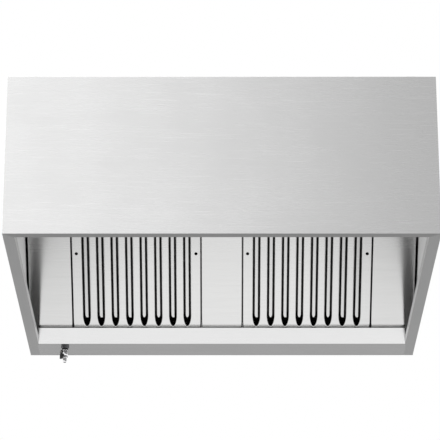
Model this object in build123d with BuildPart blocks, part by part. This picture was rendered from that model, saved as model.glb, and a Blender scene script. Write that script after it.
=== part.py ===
from build123d import *
import os
from math import cos, radians, sin, tan

# Commercial wall canopy hood, hung from four threaded rods.
# Millimetres. X runs to the right, Y from the cook towards the wall, Z up.
# The origin is the middle of the four hanging holes, on top of the hanger rails.

os.makedirs("parts", exist_ok=True)

# Overall size of the casing
hood_width = 1219.2
hood_depth = 1066.8
hood_height = 480.0
casing_sheet = 1.2
bend_radius = 1.8
weld_flange = 25.0
flange_clearance = 2.0
cut_overrun = 5.0

# Grease gutters along the front and side rims
side_gutter_width = 32.5
front_gutter_width = 26.6
gutter_lip_height = 27.0
hem_width = 4.0
hem_depth = 9.0

# Grease trough along the back
trough_depth = 111.2
trough_wall_height = 49.6
trough_flare = 25.0
trough_back_flange = 30.0
trough_flange_width = 11.0
trough_flange_fall = 21.6

# Filter bank
bank_slope = 45.0
filter_length = 498.0
filter_thickness = 47.0
filter_advance = 7.7
seat_height = 48.5
filter_gap = 4.4
filter_lift = 22.0
centre_blank_width = 124.8
outer_blank_width = 132.3
wall_gap = 5.9

# Rails that hold the filter bank
rail_play = 1.5
lower_rail_lip = 6.0
upper_rail_overlap = 16.0
lift_clearance = 2.0
closure_lap = 30.0
weep_hole_radius = 4.0
weep_hole_end_margin = 69.6
weep_hole_count = 19
rail_bracket_sheet = 2.0
rail_bracket_side_inset = 77.0
rail_bracket_count = 3
rail_bracket_inset = 4.0
rail_bracket_foot_gap = 18.8

# Baffle filters
filter_sheet = 0.8
filter_rim_depth = 12.0
frame_side_leg = 21.0
frame_end_leg = 7.0
frame_rear_leg = 50.0
slot_count = 8
stile_margin = 19.1
slot_width = 22.8
slot_end_margin = 9.0
slot_end_reach = 42.0
slot_lip_depth = 5.0
hook_hole_radius = 4.9
hook_hole_inset = 13.5
hook_hole_raise = 9.8
crown_width = 10.2
crown_depth = 4.0
crown_end_reach = 16.0
baffle_end_margin = 38.0
baffle_bend = 1.0
rear_slot_width = 20.0
rear_slot_end_margin = 24.0
filter_rivet_radius = 2.0
filter_rivet_head_radius = 3.6
filter_rivet_head = 1.4
filter_rivet_end_margin = 90.0
filter_rivet_count = 3

# Blanking panels
blank_rivet_radius = 2.4
blank_rivet_head_radius = 4.6
blank_rivet_head = 1.6
blank_rivet_spread = 70.0
blank_rivet_drop = 8.0
rivet_clearance = 0.1

# Exhaust collar on the roof
collar_length = 304.8
collar_width = 254.0
collar_height = 101.6
collar_flange = 30.0
collar_hole_radius = 4.5
collar_rivet_radius = 2.4
collar_rivet_head_radius = 4.8
collar_rivet_head = 1.6
collar_rivet_end_margin = 9.9
collar_rivet_count = 4

# Hanger rails and roof stiffeners
hanger_rise = 22.0
hanger_sheet = 3.0
hanger_bend = 5.0
hanger_foot = 36.0
hanger_flange = 44.0
hanger_edge_inset = 26.0
hanger_end_inset = 60.0
hanging_hole_radius = 7.0
hanging_hole_inset = 110.0
hanger_bolt_radius = 4.0
hanger_bolt_clearance = 0.3
hanger_bolt_flats = 13.0
hanger_bolt_head = 5.3
hanger_nut_height = 6.5
hanger_bolt_tail = 2.0
hanger_bolt_end_inset = 38.4
hanger_bolt_count = 4
stiffener_width = 40.0
stiffener_foot = 16.0
stiffener_height = 18.0
stiffener_first = 200.0
stiffener_pitch = 230.0
stiffener_clearance = 12.0

# Grease drain and ball valve under the trough
drain_side_inset = 115.6
drain_inset = 14.5
bush_flange_radius = 11.0
bush_flange_height = 2.0
bush_radius = 6.6
bush_bore_radius = 4.0
thread_clearance = 0.05
locknut_flats = 22.0
locknut_height = 10.0
valve_drop = 0.5
socket_depth = 7.0
valve_collar_radius = 9.0
ball_drop = 25.0
ball_radius = 6.0
ball_bore_radius = 3.0
ball_clearance = 0.05
seat_reach = 6.5
seat_inner_height = 3.0
seat_bore_radius = 3.2
seat_radius = 6.3
chamber_radius = 6.35
body_radius = 9.6
body_waist_radius = 8.4
body_end_drop = 34.0
cap_plug_length = 2.5
cap_flats = 16.0
cap_hex_length = 7.0
outlet_radius = 6.2
outlet_ridge_radius = 6.9
outlet_ridge_length = 3.2
outlet_drop = 55.5
outlet_bore_radius = 4.5
outlet_bore_length = 10.0

# Stem and lever of the valve
stem_turn = 50.0
stem_radius = 2.0
stem_clearance = 0.08
stem_tang = 2.0
stem_tang_width = 3.2
stem_tang_reach = 4.9
neck_radius = 4.6
neck_reach = 11.6
gland_flats = 10.0
gland_height = 2.2
lever_gap = 0.4
lever_sheet = 2.0
lever_width = 8.0
lever_head_radius = 6.4
lever_length = 20.0
grip_width = 13.0
grip_thickness = 5.0
grip_start = 6.5
grip_end_overhang = 2.4
grip_corner = 1.8
lever_nut_flats = 7.0
lever_nut_height = 2.6
stem_tip = 0.8

# Planes and lines that the pieces are placed from
top_z = -hanger_rise
rim_z = top_z - hood_height
front_y = -hood_depth / 2
back_y = hood_depth / 2
side_x = hood_width / 2
inner_x = side_x - casing_sheet
inner_front_y = front_y + casing_sheet
inner_back_y = back_y - casing_sheet
trough_y = back_y - trough_depth
trough_end_x = side_x - side_gutter_width + bend_radius
trough_lean = trough_wall_height * tan(radians(trough_flare))
seat_y = trough_y - filter_advance
seat_z = rim_z + seat_height
slope_cos = cos(radians(bank_slope))
slope_sin = sin(radians(bank_slope))

# Filter plane: x across, y up the slope, z out of the filter faces towards the cook
filter_plane = Plane(
    origin=(0, seat_y, seat_z),
    x_dir=(1, 0, 0),
    z_dir=(0, -slope_sin, -slope_cos),
)
face_axis = Axis(filter_plane.origin, filter_plane.z_dir)

# Seat plane: x across, y from the filter faces into the plenum, z up the slope
seat_plane = Plane(
    origin=(0, seat_y, seat_z),
    x_dir=(1, 0, 0),
    z_dir=(0, -slope_cos, slope_sin),
)

outer_blank_inner_x = inner_x - wall_gap - outer_blank_width
filter_width = outer_blank_inner_x - 2 * filter_gap - centre_blank_width / 2
filter_offset = centre_blank_width / 2 + filter_gap + filter_width / 2
rail_front = rail_play + casing_sheet
rail_back = filter_thickness + rail_play + casing_sheet
upper_rail_top = filter_length + filter_lift + lift_clearance + casing_sheet


def slope_point(rise, depth):
    """Y and Z of a point up the filter slope and behind the filter faces."""
    y = seat_y - rise * slope_cos + depth * slope_sin
    z = seat_z + rise * slope_sin + depth * slope_cos
    return (y, z)


def folded_section(plane, corners, thickness, side, radius):
    """Section of a folded sheet whose face runs through the given corners."""
    with BuildSketch(plane) as section:
        with BuildLine():
            FilletPolyline(*corners, radius=radius)
            offset(amount=thickness, side=side)
        make_face()
    return section.sketch


def block(low, high, mode=Mode.ADD):
    """Rectangular block between two corners."""
    size = Vector(*high) - Vector(*low)
    middle = Vector(*low) + size / 2
    with Locations(middle):
        Box(size.X, size.Y, size.Z, mode=mode)


def write(piece, name):
    """Label a finished piece and write its file."""
    piece.part.label = name
    export_step(piece.part, f"parts/{name}.step")


# Front panel, with the front gutter folded under it

mitre_run = side_gutter_width / front_gutter_width
mitre_start_x = side_x - mitre_run * casing_sheet
mitre_end_x = side_x - mitre_run * (front_gutter_width + cut_overrun)
mitre_end_y = front_y + front_gutter_width + cut_overrun
gutter_cut_height = gutter_lip_height + 2 * cut_overrun

front_corners = [
    (front_y, top_z),
    (front_y, rim_z),
    (front_y + front_gutter_width, rim_z),
    (front_y + front_gutter_width, rim_z + gutter_lip_height),
    (front_y + front_gutter_width - hem_width, rim_z + gutter_lip_height),
    (front_y + front_gutter_width - hem_width, rim_z + gutter_lip_height - hem_depth),
]

with BuildPart() as front_panel:
    extrude(
        folded_section(Plane.YZ, front_corners, casing_sheet, Side.LEFT, bend_radius),
        amount=hood_width / 2,
        both=True,
    )
    with BuildSketch(Plane.XY.offset(rim_z - cut_overrun)):
        with BuildLine():
            Polyline(
                (mitre_start_x, inner_front_y),
                (mitre_end_x, mitre_end_y),
                (side_x + cut_overrun, mitre_end_y),
                (side_x + cut_overrun, inner_front_y),
                close=True,
            )
        make_face()
        mirror(about=Plane.YZ)
    extrude(amount=gutter_cut_height, mode=Mode.SUBTRACT)

# Side panels, with the side gutters folded under them

gutter_inner_x = side_x - side_gutter_width
side_corners = [
    (side_x, top_z),
    (side_x, rim_z),
    (gutter_inner_x, rim_z),
    (gutter_inner_x, rim_z + gutter_lip_height),
    (gutter_inner_x + hem_width, rim_z + gutter_lip_height),
    (gutter_inner_x + hem_width, rim_z + gutter_lip_height - hem_depth),
]
side_flange_top = top_z - weld_flange - flange_clearance
side_flange_foot = rim_z + gutter_lip_height + flange_clearance

with BuildPart() as right_side_panel:
    extrude(
        folded_section(
            Plane.XZ.offset(-inner_back_y), side_corners, casing_sheet, Side.RIGHT, bend_radius
        ),
        amount=inner_back_y - inner_front_y,
    )
    with BuildSketch(Plane.XY.offset(rim_z - cut_overrun)):
        with BuildLine():
            Polyline(
                (mitre_start_x, inner_front_y),
                (mitre_end_x, mitre_end_y),
                (mitre_end_x, inner_front_y),
                close=True,
            )
        make_face()
    extrude(amount=gutter_cut_height, mode=Mode.SUBTRACT)
    block(
        (gutter_inner_x - cut_overrun, trough_y, rim_z - cut_overrun),
        (trough_end_x, back_y, rim_z + gutter_lip_height + cut_overrun),
        mode=Mode.SUBTRACT,
    )
    block(
        (gutter_inner_x - cut_overrun, trough_y, rim_z + casing_sheet),
        (gutter_inner_x + hem_width + cut_overrun, back_y, rim_z + gutter_lip_height + cut_overrun),
        mode=Mode.SUBTRACT,
    )
    block(
        (inner_x - weld_flange, inner_front_y, side_flange_foot),
        (inner_x, inner_front_y + casing_sheet, side_flange_top),
    )
    block(
        (inner_x - weld_flange, inner_back_y - casing_sheet, side_flange_foot),
        (inner_x, inner_back_y, side_flange_top),
    )

with BuildPart() as left_side_panel:
    mirror(right_side_panel.part, about=Plane.YZ)

# Back panel, a flat sheet against the wall

with BuildPart() as back_panel:
    block((-side_x, inner_back_y, rim_z), (side_x, back_y, top_z))

# Grease trough, open at both ends of its wall to the side gutters, its top flange falling inward

drain_y = trough_y + drain_inset
drain_offset = side_x - drain_side_inset
trough_top_y = trough_y - trough_lean
trough_top_z = rim_z + trough_wall_height
trough_corners = [
    (inner_back_y, rim_z + trough_back_flange),
    (inner_back_y, rim_z),
    (trough_y, rim_z),
    (trough_top_y, trough_top_z),
    (
        trough_top_y + trough_flange_width * cos(radians(trough_flange_fall)),
        trough_top_z - trough_flange_width * sin(radians(trough_flange_fall)),
    ),
]

with BuildPart() as grease_trough:
    extrude(
        folded_section(Plane.YZ, trough_corners, casing_sheet, Side.RIGHT, bend_radius),
        amount=trough_end_x,
        both=True,
    )
    with BuildSketch(Plane.XY.offset(rim_z)):
        with Locations((-drain_offset, drain_y)):
            Circle(bush_radius + thread_clearance)
    extrude(amount=casing_sheet, mode=Mode.SUBTRACT)
    with BuildSketch(Plane.XY.offset(rim_z - cut_overrun)):
        with BuildLine():
            Polyline(
                (gutter_inner_x, trough_y + bend_radius),
                (trough_end_x + cut_overrun, trough_y + bend_radius),
                (trough_end_x + cut_overrun, trough_y - trough_lean - cut_overrun),
                (gutter_inner_x, trough_y - trough_lean - cut_overrun),
                close=True,
            )
        make_face()
        mirror(about=Plane.YZ)
    extrude(amount=trough_wall_height + 2 * cut_overrun, mode=Mode.SUBTRACT)

# Roof panel, a tray turned down inside the four walls

closure_y, closure_z = slope_point(upper_rail_top, rail_back)
collar_y = (closure_y + weld_flange + inner_back_y) / 2
hanger_x = side_x - hanger_edge_inset - hanger_flange
hanger_bolt_x = hanger_x - hanger_foot / 2
hanger_length = hood_depth - 2 * hanger_end_inset
hanger_bolt_pitch = (hanger_length - 2 * hanger_bolt_end_inset) / (hanger_bolt_count - 1)
base_rivet_x = collar_length / 2 + collar_flange / 2 + casing_sheet
base_rivet_y = collar_width / 2 + collar_flange / 2 + casing_sheet


def collar_rivet_places():
    """Rivet centres on the four sides of the collar's base flange."""
    places = []
    for step in range(collar_rivet_count):
        run_share = step / (collar_rivet_count - 1) - 1 / 2
        along = run_share * (collar_length - 2 * collar_rivet_end_margin)
        side_along = run_share * (collar_width - 2 * collar_rivet_end_margin)
        places.append((along, collar_y + base_rivet_y))
        places.append((along, collar_y - base_rivet_y))
        places.append((base_rivet_x, collar_y + side_along))
        places.append((-base_rivet_x, collar_y + side_along))
    return places


with BuildPart() as top_panel:
    block((-inner_x, inner_front_y, top_z - weld_flange), (inner_x, inner_back_y, top_z))
    block(
        (-inner_x + casing_sheet, inner_front_y + casing_sheet, top_z - weld_flange - cut_overrun),
        (inner_x - casing_sheet, inner_back_y - casing_sheet, top_z - casing_sheet),
        mode=Mode.SUBTRACT,
    )
    with BuildSketch(Plane.XY.offset(top_z)):
        with Locations((0, collar_y)):
            Rectangle(collar_length, collar_width)
        with Locations(*collar_rivet_places()):
            Circle(collar_rivet_radius + rivet_clearance)
        with GridLocations(2 * hanger_bolt_x, hanger_bolt_pitch, 2, hanger_bolt_count):
            Circle(hanger_bolt_radius + hanger_bolt_clearance)
    extrude(amount=-casing_sheet, mode=Mode.SUBTRACT)

# Exhaust collar, flanged at its foot and at the duct

with BuildPart() as exhaust_collar:
    with BuildSketch(Plane.XY.offset(top_z)):
        with Locations((0, collar_y)):
            Rectangle(
                collar_length + 2 * (casing_sheet + collar_flange),
                collar_width + 2 * (casing_sheet + collar_flange),
            )
            Rectangle(collar_length, collar_width, mode=Mode.SUBTRACT)
        with Locations(*collar_rivet_places()):
            Circle(collar_rivet_radius + rivet_clearance, mode=Mode.SUBTRACT)
    extrude(amount=casing_sheet)
    with BuildSketch(Plane.XY.offset(top_z)):
        with Locations((0, collar_y)):
            Rectangle(collar_length + 2 * casing_sheet, collar_width + 2 * casing_sheet)
            Rectangle(collar_length, collar_width, mode=Mode.SUBTRACT)
    extrude(amount=collar_height)
    with BuildSketch(Plane.XY.offset(top_z + collar_height - casing_sheet)):
        with Locations((0, collar_y)):
            Rectangle(
                collar_length + 2 * (casing_sheet + collar_flange),
                collar_width + 2 * (casing_sheet + collar_flange),
            )
            Rectangle(collar_length, collar_width, mode=Mode.SUBTRACT)
            with GridLocations(collar_length + collar_flange, collar_width + collar_flange, 2, 2):
                Circle(collar_hole_radius, mode=Mode.SUBTRACT)
    extrude(amount=casing_sheet)

with BuildPart() as collar_rivets:
    with BuildSketch(Plane.XY.offset(top_z - casing_sheet)):
        with Locations(*collar_rivet_places()):
            Circle(collar_rivet_radius)
    extrude(amount=2 * casing_sheet)
    with BuildSketch(Plane.XY.offset(top_z + casing_sheet)):
        with Locations(*collar_rivet_places()):
            Circle(collar_rivet_head_radius)
    extrude(amount=collar_rivet_head, taper=bank_slope)
    with BuildSketch(Plane.XY.offset(top_z - casing_sheet)):
        with Locations(*collar_rivet_places()):
            Circle(collar_rivet_head_radius)
    extrude(amount=-collar_rivet_head, taper=bank_slope)

# Hanger rails along both sides of the roof

hanger_corners = [
    (hanger_x - hanger_foot, top_z),
    (hanger_x, top_z),
    (hanger_x, -hanger_sheet),
    (hanger_x + hanger_flange, -hanger_sheet),
]
hanging_hole_x = hanger_x + hanger_flange / 2
hanging_hole_y = hood_depth / 2 - hanging_hole_inset

with BuildPart() as right_hanger_rail:
    extrude(
        folded_section(Plane.XZ, hanger_corners, hanger_sheet, Side.LEFT, hanger_bend),
        amount=hanger_length / 2,
        both=True,
    )
    with BuildSketch(Plane.XY.offset(-hanger_sheet)):
        with Locations((hanging_hole_x, hanging_hole_y), (hanging_hole_x, -hanging_hole_y)):
            Circle(hanging_hole_radius)
    extrude(amount=hanger_sheet, mode=Mode.SUBTRACT)
    with BuildSketch(Plane.XY.offset(top_z)):
        with Locations((hanger_bolt_x, 0)):
            with GridLocations(hanger_bolt_pitch, hanger_bolt_pitch, 1, hanger_bolt_count):
                Circle(hanger_bolt_radius + hanger_bolt_clearance)
    extrude(amount=hanger_sheet, mode=Mode.SUBTRACT)

with BuildPart() as left_hanger_rail:
    mirror(right_hanger_rail.part, about=Plane.YZ)

bolt_tip_z = top_z - casing_sheet - hanger_nut_height - hanger_bolt_tail

with BuildPart() as hanger_bolts:
    with BuildSketch(Plane.XY.offset(bolt_tip_z)):
        with GridLocations(2 * hanger_bolt_x, hanger_bolt_pitch, 2, hanger_bolt_count):
            Circle(hanger_bolt_radius)
    extrude(amount=top_z + hanger_sheet - bolt_tip_z)
    with BuildSketch(Plane.XY.offset(top_z + hanger_sheet)):
        with GridLocations(2 * hanger_bolt_x, hanger_bolt_pitch, 2, hanger_bolt_count):
            RegularPolygon(hanger_bolt_flats / 2, 6, major_radius=False)
    extrude(amount=hanger_bolt_head)

with BuildPart() as hanger_nuts:
    with BuildSketch(Plane.XY.offset(top_z - casing_sheet - hanger_nut_height)):
        with GridLocations(2 * hanger_bolt_x, hanger_bolt_pitch, 2, hanger_bolt_count):
            RegularPolygon(hanger_bolt_flats / 2, 6, major_radius=False)
            Circle(hanger_bolt_radius + thread_clearance, mode=Mode.SUBTRACT)
    extrude(amount=hanger_nut_height)

# Roof stiffeners, hat channels between the hanger rails


def roof_stiffener(middle_y):
    """Hat channel across the roof at one place."""
    left = middle_y - stiffener_width / 2
    right = middle_y + stiffener_width / 2
    crown = top_z + stiffener_height
    corners = [
        (left - stiffener_foot, top_z),
        (left, top_z),
        (left, crown),
        (right, crown),
        (right, top_z),
        (right + stiffener_foot, top_z),
    ]
    with BuildPart() as stiffener:
        extrude(
            folded_section(Plane.YZ, corners, casing_sheet, Side.LEFT, bend_radius),
            amount=hanger_x - hanger_foot - stiffener_clearance,
            both=True,
        )
    return stiffener


front_stiffener = roof_stiffener(front_y + stiffener_first)
middle_stiffener = roof_stiffener(front_y + stiffener_first + stiffener_pitch)

# Upper filter rail, deep enough for a filter to be lifted into

upper_rail_mouth = filter_length - upper_rail_overlap
upper_rail_corners = [
    slope_point(upper_rail_mouth, rail_back),
    slope_point(upper_rail_top, rail_back),
    slope_point(upper_rail_top, -rail_front),
    slope_point(upper_rail_mouth, -rail_front),
]
blank_rivet_rise = filter_length - blank_rivet_drop
outer_blank_x = outer_blank_inner_x + outer_blank_width / 2


def blank_rivet_places():
    """Rivet centres in the filter plane, a pair for each blanking panel."""
    places = []
    for middle in (-outer_blank_x, 0, outer_blank_x):
        places.append((middle - blank_rivet_spread / 2, blank_rivet_rise))
        places.append((middle + blank_rivet_spread / 2, blank_rivet_rise))
    return places


with BuildPart() as upper_filter_rail:
    extrude(
        folded_section(Plane.YZ, upper_rail_corners, casing_sheet, Side.LEFT, bend_radius),
        amount=inner_x,
        both=True,
    )
    with BuildSketch(filter_plane.offset(rail_play)):
        with Locations(*blank_rivet_places()):
            Circle(blank_rivet_radius + rivet_clearance)
    extrude(amount=casing_sheet, mode=Mode.SUBTRACT)

# Closure strip between the upper filter rail and the roof

closure_roof_z = top_z - 2 * casing_sheet
closure_corners = [
    slope_point(upper_rail_top, rail_back - closure_lap),
    (closure_y, closure_z),
    (closure_y, closure_roof_z),
    (closure_y + weld_flange, closure_roof_z),
]

with BuildPart() as filter_rail_closure:
    extrude(
        folded_section(Plane.YZ, closure_corners, casing_sheet, Side.LEFT, bend_radius),
        amount=inner_x - casing_sheet,
        both=True,
    )

# Lower filter rail over the trough, with weep holes

lower_rail_corners = [
    slope_point(lower_rail_lip, -rail_front),
    slope_point(-casing_sheet, -rail_front),
    slope_point(-casing_sheet, rail_back),
    slope_point(lower_rail_lip, rail_back),
]
weep_hole_pitch = (hood_width - 2 * weep_hole_end_margin) / (weep_hole_count - 1)

with BuildPart() as lower_filter_rail:
    extrude(
        folded_section(Plane.YZ, lower_rail_corners, casing_sheet, Side.LEFT, bend_radius),
        amount=inner_x,
        both=True,
    )
    with BuildSketch(seat_plane.offset(-casing_sheet)):
        with Locations((0, filter_thickness / 2)):
            with GridLocations(weep_hole_pitch, weep_hole_pitch, weep_hole_count, 1):
                Circle(weep_hole_radius)
    extrude(amount=casing_sheet, mode=Mode.SUBTRACT)

# Brackets that carry the lower filter rail on the trough floor

bracket_front_y, bracket_front_z = slope_point(-casing_sheet, rail_bracket_inset)
bracket_back_y, bracket_back_z = slope_point(-casing_sheet, rail_back - rail_bracket_inset)
rail_bracket_run = 2 * (side_x - rail_bracket_side_inset)

with BuildPart() as filter_rail_brackets:
    with BuildSketch(Plane.YZ.offset(-rail_bracket_sheet / 2)) as bracket_side:
        with BuildLine():
            Polyline(
                (trough_y + rail_bracket_foot_gap, rim_z + casing_sheet),
                (bracket_front_y, bracket_front_z),
                (bracket_back_y, bracket_back_z),
                (bracket_back_y, rim_z + casing_sheet),
                close=True,
            )
        make_face()
    for step in range(rail_bracket_count):
        bracket_x = (step / (rail_bracket_count - 1) - 1 / 2) * rail_bracket_run
        extrude(Pos(bracket_x, 0, 0) * bracket_side.sketch, amount=rail_bracket_sheet)

# Blanking panels, shallow pans beside and between the filters


def blanking_panel(middle_x, width):
    """Pan with its face in the filter plane, riveted to the upper rail."""
    half = width / 2
    with BuildPart() as panel:
        with Locations(filter_plane):
            block((middle_x - half, 0, -filter_thickness), (middle_x + half, filter_length, 0))
        fillet(panel.faces().sort_by(face_axis)[-1].edges(), bend_radius)
        with Locations(filter_plane):
            block(
                (middle_x - half + casing_sheet, casing_sheet, -filter_thickness - cut_overrun),
                (middle_x + half - casing_sheet, filter_length - casing_sheet, -casing_sheet),
                mode=Mode.SUBTRACT,
            )
        with BuildSketch(filter_plane):
            with Locations(
                (middle_x - blank_rivet_spread / 2, blank_rivet_rise),
                (middle_x + blank_rivet_spread / 2, blank_rivet_rise),
            ):
                Circle(blank_rivet_radius + rivet_clearance)
        extrude(amount=-casing_sheet, mode=Mode.SUBTRACT)
    return panel


left_blanking_panel = blanking_panel(-outer_blank_x, outer_blank_width)
centre_blanking_panel = blanking_panel(0, centre_blank_width)
right_blanking_panel = blanking_panel(outer_blank_x, outer_blank_width)

with BuildPart() as blanking_panel_rivets:
    with BuildSketch(filter_plane.offset(-casing_sheet)):
        with Locations(*blank_rivet_places()):
            Circle(blank_rivet_radius)
    extrude(amount=casing_sheet + rail_front)
    with BuildSketch(filter_plane.offset(rail_front)):
        with Locations(*blank_rivet_places()):
            Circle(blank_rivet_head_radius)
    extrude(amount=blank_rivet_head, taper=bank_slope)
    with BuildSketch(filter_plane.offset(-casing_sheet)):
        with Locations(*blank_rivet_places()):
            Circle(blank_rivet_head_radius)
    extrude(amount=-blank_rivet_head, taper=bank_slope)

# Baffle filters, four pieces each

slot_pitch = (filter_width - 2 * stile_margin) / slot_count
slot_straight = filter_length - 2 * (slot_end_margin + slot_end_reach)
frame_width = filter_width - 2 * filter_sheet
baffle_depth = filter_thickness - filter_sheet
baffle_length = filter_length - 2 * baffle_end_margin
rear_slot_length = baffle_length - 2 * rear_slot_end_margin
crown_end_y = baffle_length / 2 - crown_end_reach
hook_hole_rise = filter_length / 2 + hook_hole_raise
hook_hole_spread = filter_width - 2 * hook_hole_inset
filter_rivet_x = filter_width / 2 - frame_side_leg / 2


def hook_hole_places(middle_x):
    """Hook hole centres in the filter plane, one on each stile."""
    left = (middle_x - hook_hole_spread / 2, hook_hole_rise)
    right = (middle_x + hook_hole_spread / 2, hook_hole_rise)
    return [left, right]


def filter_rivet_places(middle_x):
    """Rivet centres in the filter plane, down both stiles."""
    places = []
    rivet_run = filter_length - 2 * filter_rivet_end_margin
    for step in range(filter_rivet_count):
        rise = filter_rivet_end_margin + step / (filter_rivet_count - 1) * rivet_run
        places.append((middle_x - filter_rivet_x, rise))
        places.append((middle_x + filter_rivet_x, rise))
    return places


def long_slots(middle_x, growth):
    """Slots with drawn-out round ends in the open sketch, their edges moved outward by a growth."""
    with Locations((middle_x, filter_length / 2)):
        with GridLocations(slot_pitch, slot_pitch, slot_count, 1):
            Rectangle(slot_width + 2 * growth, slot_straight)
            with Locations((0, slot_straight / 2), (0, -slot_straight / 2)):
                Ellipse(slot_width / 2 + growth, slot_end_reach + growth)


def filter_front_plate(middle_x):
    """Slotted face plate with its rims folded back and a lip round each slot."""
    half = filter_width / 2
    with BuildPart() as plate:
        with Locations(filter_plane):
            block((middle_x - half, 0, -filter_rim_depth), (middle_x + half, filter_length, 0))
        fillet(plate.faces().sort_by(face_axis)[-1].edges(), bend_radius)
        with Locations(filter_plane):
            block(
                (middle_x - half + filter_sheet, filter_sheet, -filter_rim_depth - cut_overrun),
                (middle_x + half - filter_sheet, filter_length - filter_sheet, -filter_sheet),
                mode=Mode.SUBTRACT,
            )
        with BuildSketch(filter_plane.offset(-filter_sheet)):
            long_slots(middle_x, filter_sheet)
        extrude(amount=filter_sheet - slot_lip_depth)
        with BuildSketch(filter_plane):
            long_slots(middle_x, 0)
        extrude(amount=-slot_lip_depth, mode=Mode.SUBTRACT)
        with BuildSketch(filter_plane):
            with Locations(*hook_hole_places(middle_x)):
                Circle(hook_hole_radius)
        extrude(amount=-filter_sheet, mode=Mode.SUBTRACT)
    return plate


def filter_frame(middle_x):
    """Channel bent round into a frame, with broader legs behind its ends."""
    half_width = frame_width / 2
    near = filter_sheet
    far = filter_length - filter_sheet
    with BuildPart() as frame:
        with Locations(filter_plane):
            block(
                (middle_x - half_width, near, -filter_thickness),
                (middle_x + half_width, far, -filter_sheet),
            )
            block(
                (middle_x - half_width + filter_sheet, near + filter_sheet, filter_sheet - filter_thickness),
                (middle_x + half_width - filter_sheet, far - filter_sheet, -2 * filter_sheet),
                mode=Mode.SUBTRACT,
            )
            block(
                (middle_x - half_width + frame_side_leg, near + frame_end_leg, -filter_rim_depth),
                (middle_x + half_width - frame_side_leg, far - frame_end_leg, cut_overrun),
                mode=Mode.SUBTRACT,
            )
            block(
                (
                    middle_x - half_width + frame_side_leg,
                    near + frame_rear_leg,
                    -filter_thickness - cut_overrun,
                ),
                (middle_x + half_width - frame_side_leg, far - frame_rear_leg, -filter_rim_depth),
                mode=Mode.SUBTRACT,
            )
        with BuildSketch(filter_plane.offset(-filter_sheet)):
            with Locations(*hook_hole_places(middle_x)):
                Circle(hook_hole_radius)
        extrude(amount=-filter_sheet, mode=Mode.SUBTRACT)
        with BuildSketch(filter_plane.offset(-filter_thickness)):
            with Locations(*filter_rivet_places(middle_x)):
                Circle(filter_rivet_radius + rivet_clearance)
        extrude(amount=filter_sheet, mode=Mode.SUBTRACT)
    return frame


def filter_rear_baffle(middle_x):
    """Corrugated rear sheet, one deep rib behind each slot of the face plate."""
    edge = frame_width / 2 - filter_sheet
    rib_half = crown_width / 2 - filter_sheet
    corners = [(middle_x - edge, baffle_depth)]
    for step in range(slot_count):
        rib_x = middle_x + (step - (slot_count - 1) / 2) * slot_pitch
        corners.append((rib_x - rib_half, baffle_depth))
        corners.append((rib_x - rib_half, crown_depth + filter_sheet))
        corners.append((rib_x + rib_half, crown_depth + filter_sheet))
        corners.append((rib_x + rib_half, baffle_depth))
    corners.append((middle_x + edge, baffle_depth))
    section_plane = seat_plane.offset(baffle_end_margin)
    with BuildPart() as baffle:
        extrude(
            folded_section(section_plane, corners, filter_sheet, Side.RIGHT, baffle_bend),
            amount=baffle_length,
        )
        with BuildSketch(filter_plane.offset(-baffle_depth)):
            with Locations((middle_x, filter_length / 2)):
                with GridLocations(slot_pitch, slot_pitch, slot_count - 1, 1):
                    SlotOverall(rear_slot_length, rear_slot_width, rotation=90)
            with Locations(*filter_rivet_places(middle_x)):
                Circle(filter_rivet_radius + rivet_clearance)
        extrude(amount=filter_sheet, mode=Mode.SUBTRACT)
        with BuildSketch(filter_plane.offset(-baffle_depth + filter_sheet)):
            with Locations((middle_x, filter_length / 2)):
                with GridLocations(slot_pitch, 2 * crown_end_y, slot_count, 2):
                    Rectangle(crown_width + 2 * filter_sheet, 2 * crown_end_reach)
                with GridLocations(slot_pitch, slot_pitch, slot_count, 1):
                    Rectangle(crown_width + 2 * filter_sheet, 2 * crown_end_y, mode=Mode.SUBTRACT)
                with GridLocations(slot_pitch, 2 * crown_end_y, slot_count, 2):
                    Ellipse(crown_width / 2, crown_end_reach, mode=Mode.SUBTRACT)
        extrude(amount=baffle_depth - filter_sheet, mode=Mode.SUBTRACT)
    return baffle


def filter_rivets(middle_x):
    """Rivets that hold the rear sheet in the frame."""
    places = filter_rivet_places(middle_x)
    with BuildPart() as rivets:
        with BuildSketch(filter_plane.offset(-filter_thickness)):
            with Locations(*places):
                Circle(filter_rivet_radius)
        extrude(amount=2 * filter_sheet)
        with BuildSketch(filter_plane.offset(-filter_thickness)):
            with Locations(*places):
                Circle(filter_rivet_head_radius)
        extrude(amount=-filter_rivet_head, taper=bank_slope)
        with BuildSketch(filter_plane.offset(-filter_thickness + 2 * filter_sheet)):
            with Locations(*places):
                Circle(filter_rivet_head_radius)
        extrude(amount=filter_rivet_head, taper=bank_slope)
    return rivets


# Drain bush and locknut through the trough floor

valve_plane = Plane(origin=(-drain_offset, drain_y, rim_z), x_dir=(1, 0, 0), z_dir=(0, -1, 0))
valve_axis = Axis((-drain_offset, drain_y, rim_z), (0, 0, 1))
socket_z = -locknut_height - valve_drop
bush_end_z = socket_z - socket_depth

with BuildPart() as drain_bush:
    with BuildSketch(valve_plane):
        with BuildLine():
            Polyline(
                (bush_bore_radius, casing_sheet + bush_flange_height),
                (bush_flange_radius, casing_sheet + bush_flange_height),
                (bush_flange_radius, casing_sheet),
                (bush_radius, casing_sheet),
                (bush_radius, bush_end_z),
                (bush_bore_radius, bush_end_z),
                close=True,
            )
        make_face()
    revolve(axis=valve_axis)

with BuildPart() as drain_locknut:
    with BuildSketch(Plane.XY.offset(rim_z - locknut_height)):
        with Locations((-drain_offset, drain_y)):
            RegularPolygon(locknut_flats / 2, 6, major_radius=False)
            Circle(bush_radius + thread_clearance, mode=Mode.SUBTRACT)
    extrude(amount=locknut_height)

# Valve body with its stem neck, and the end cap below it

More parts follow.
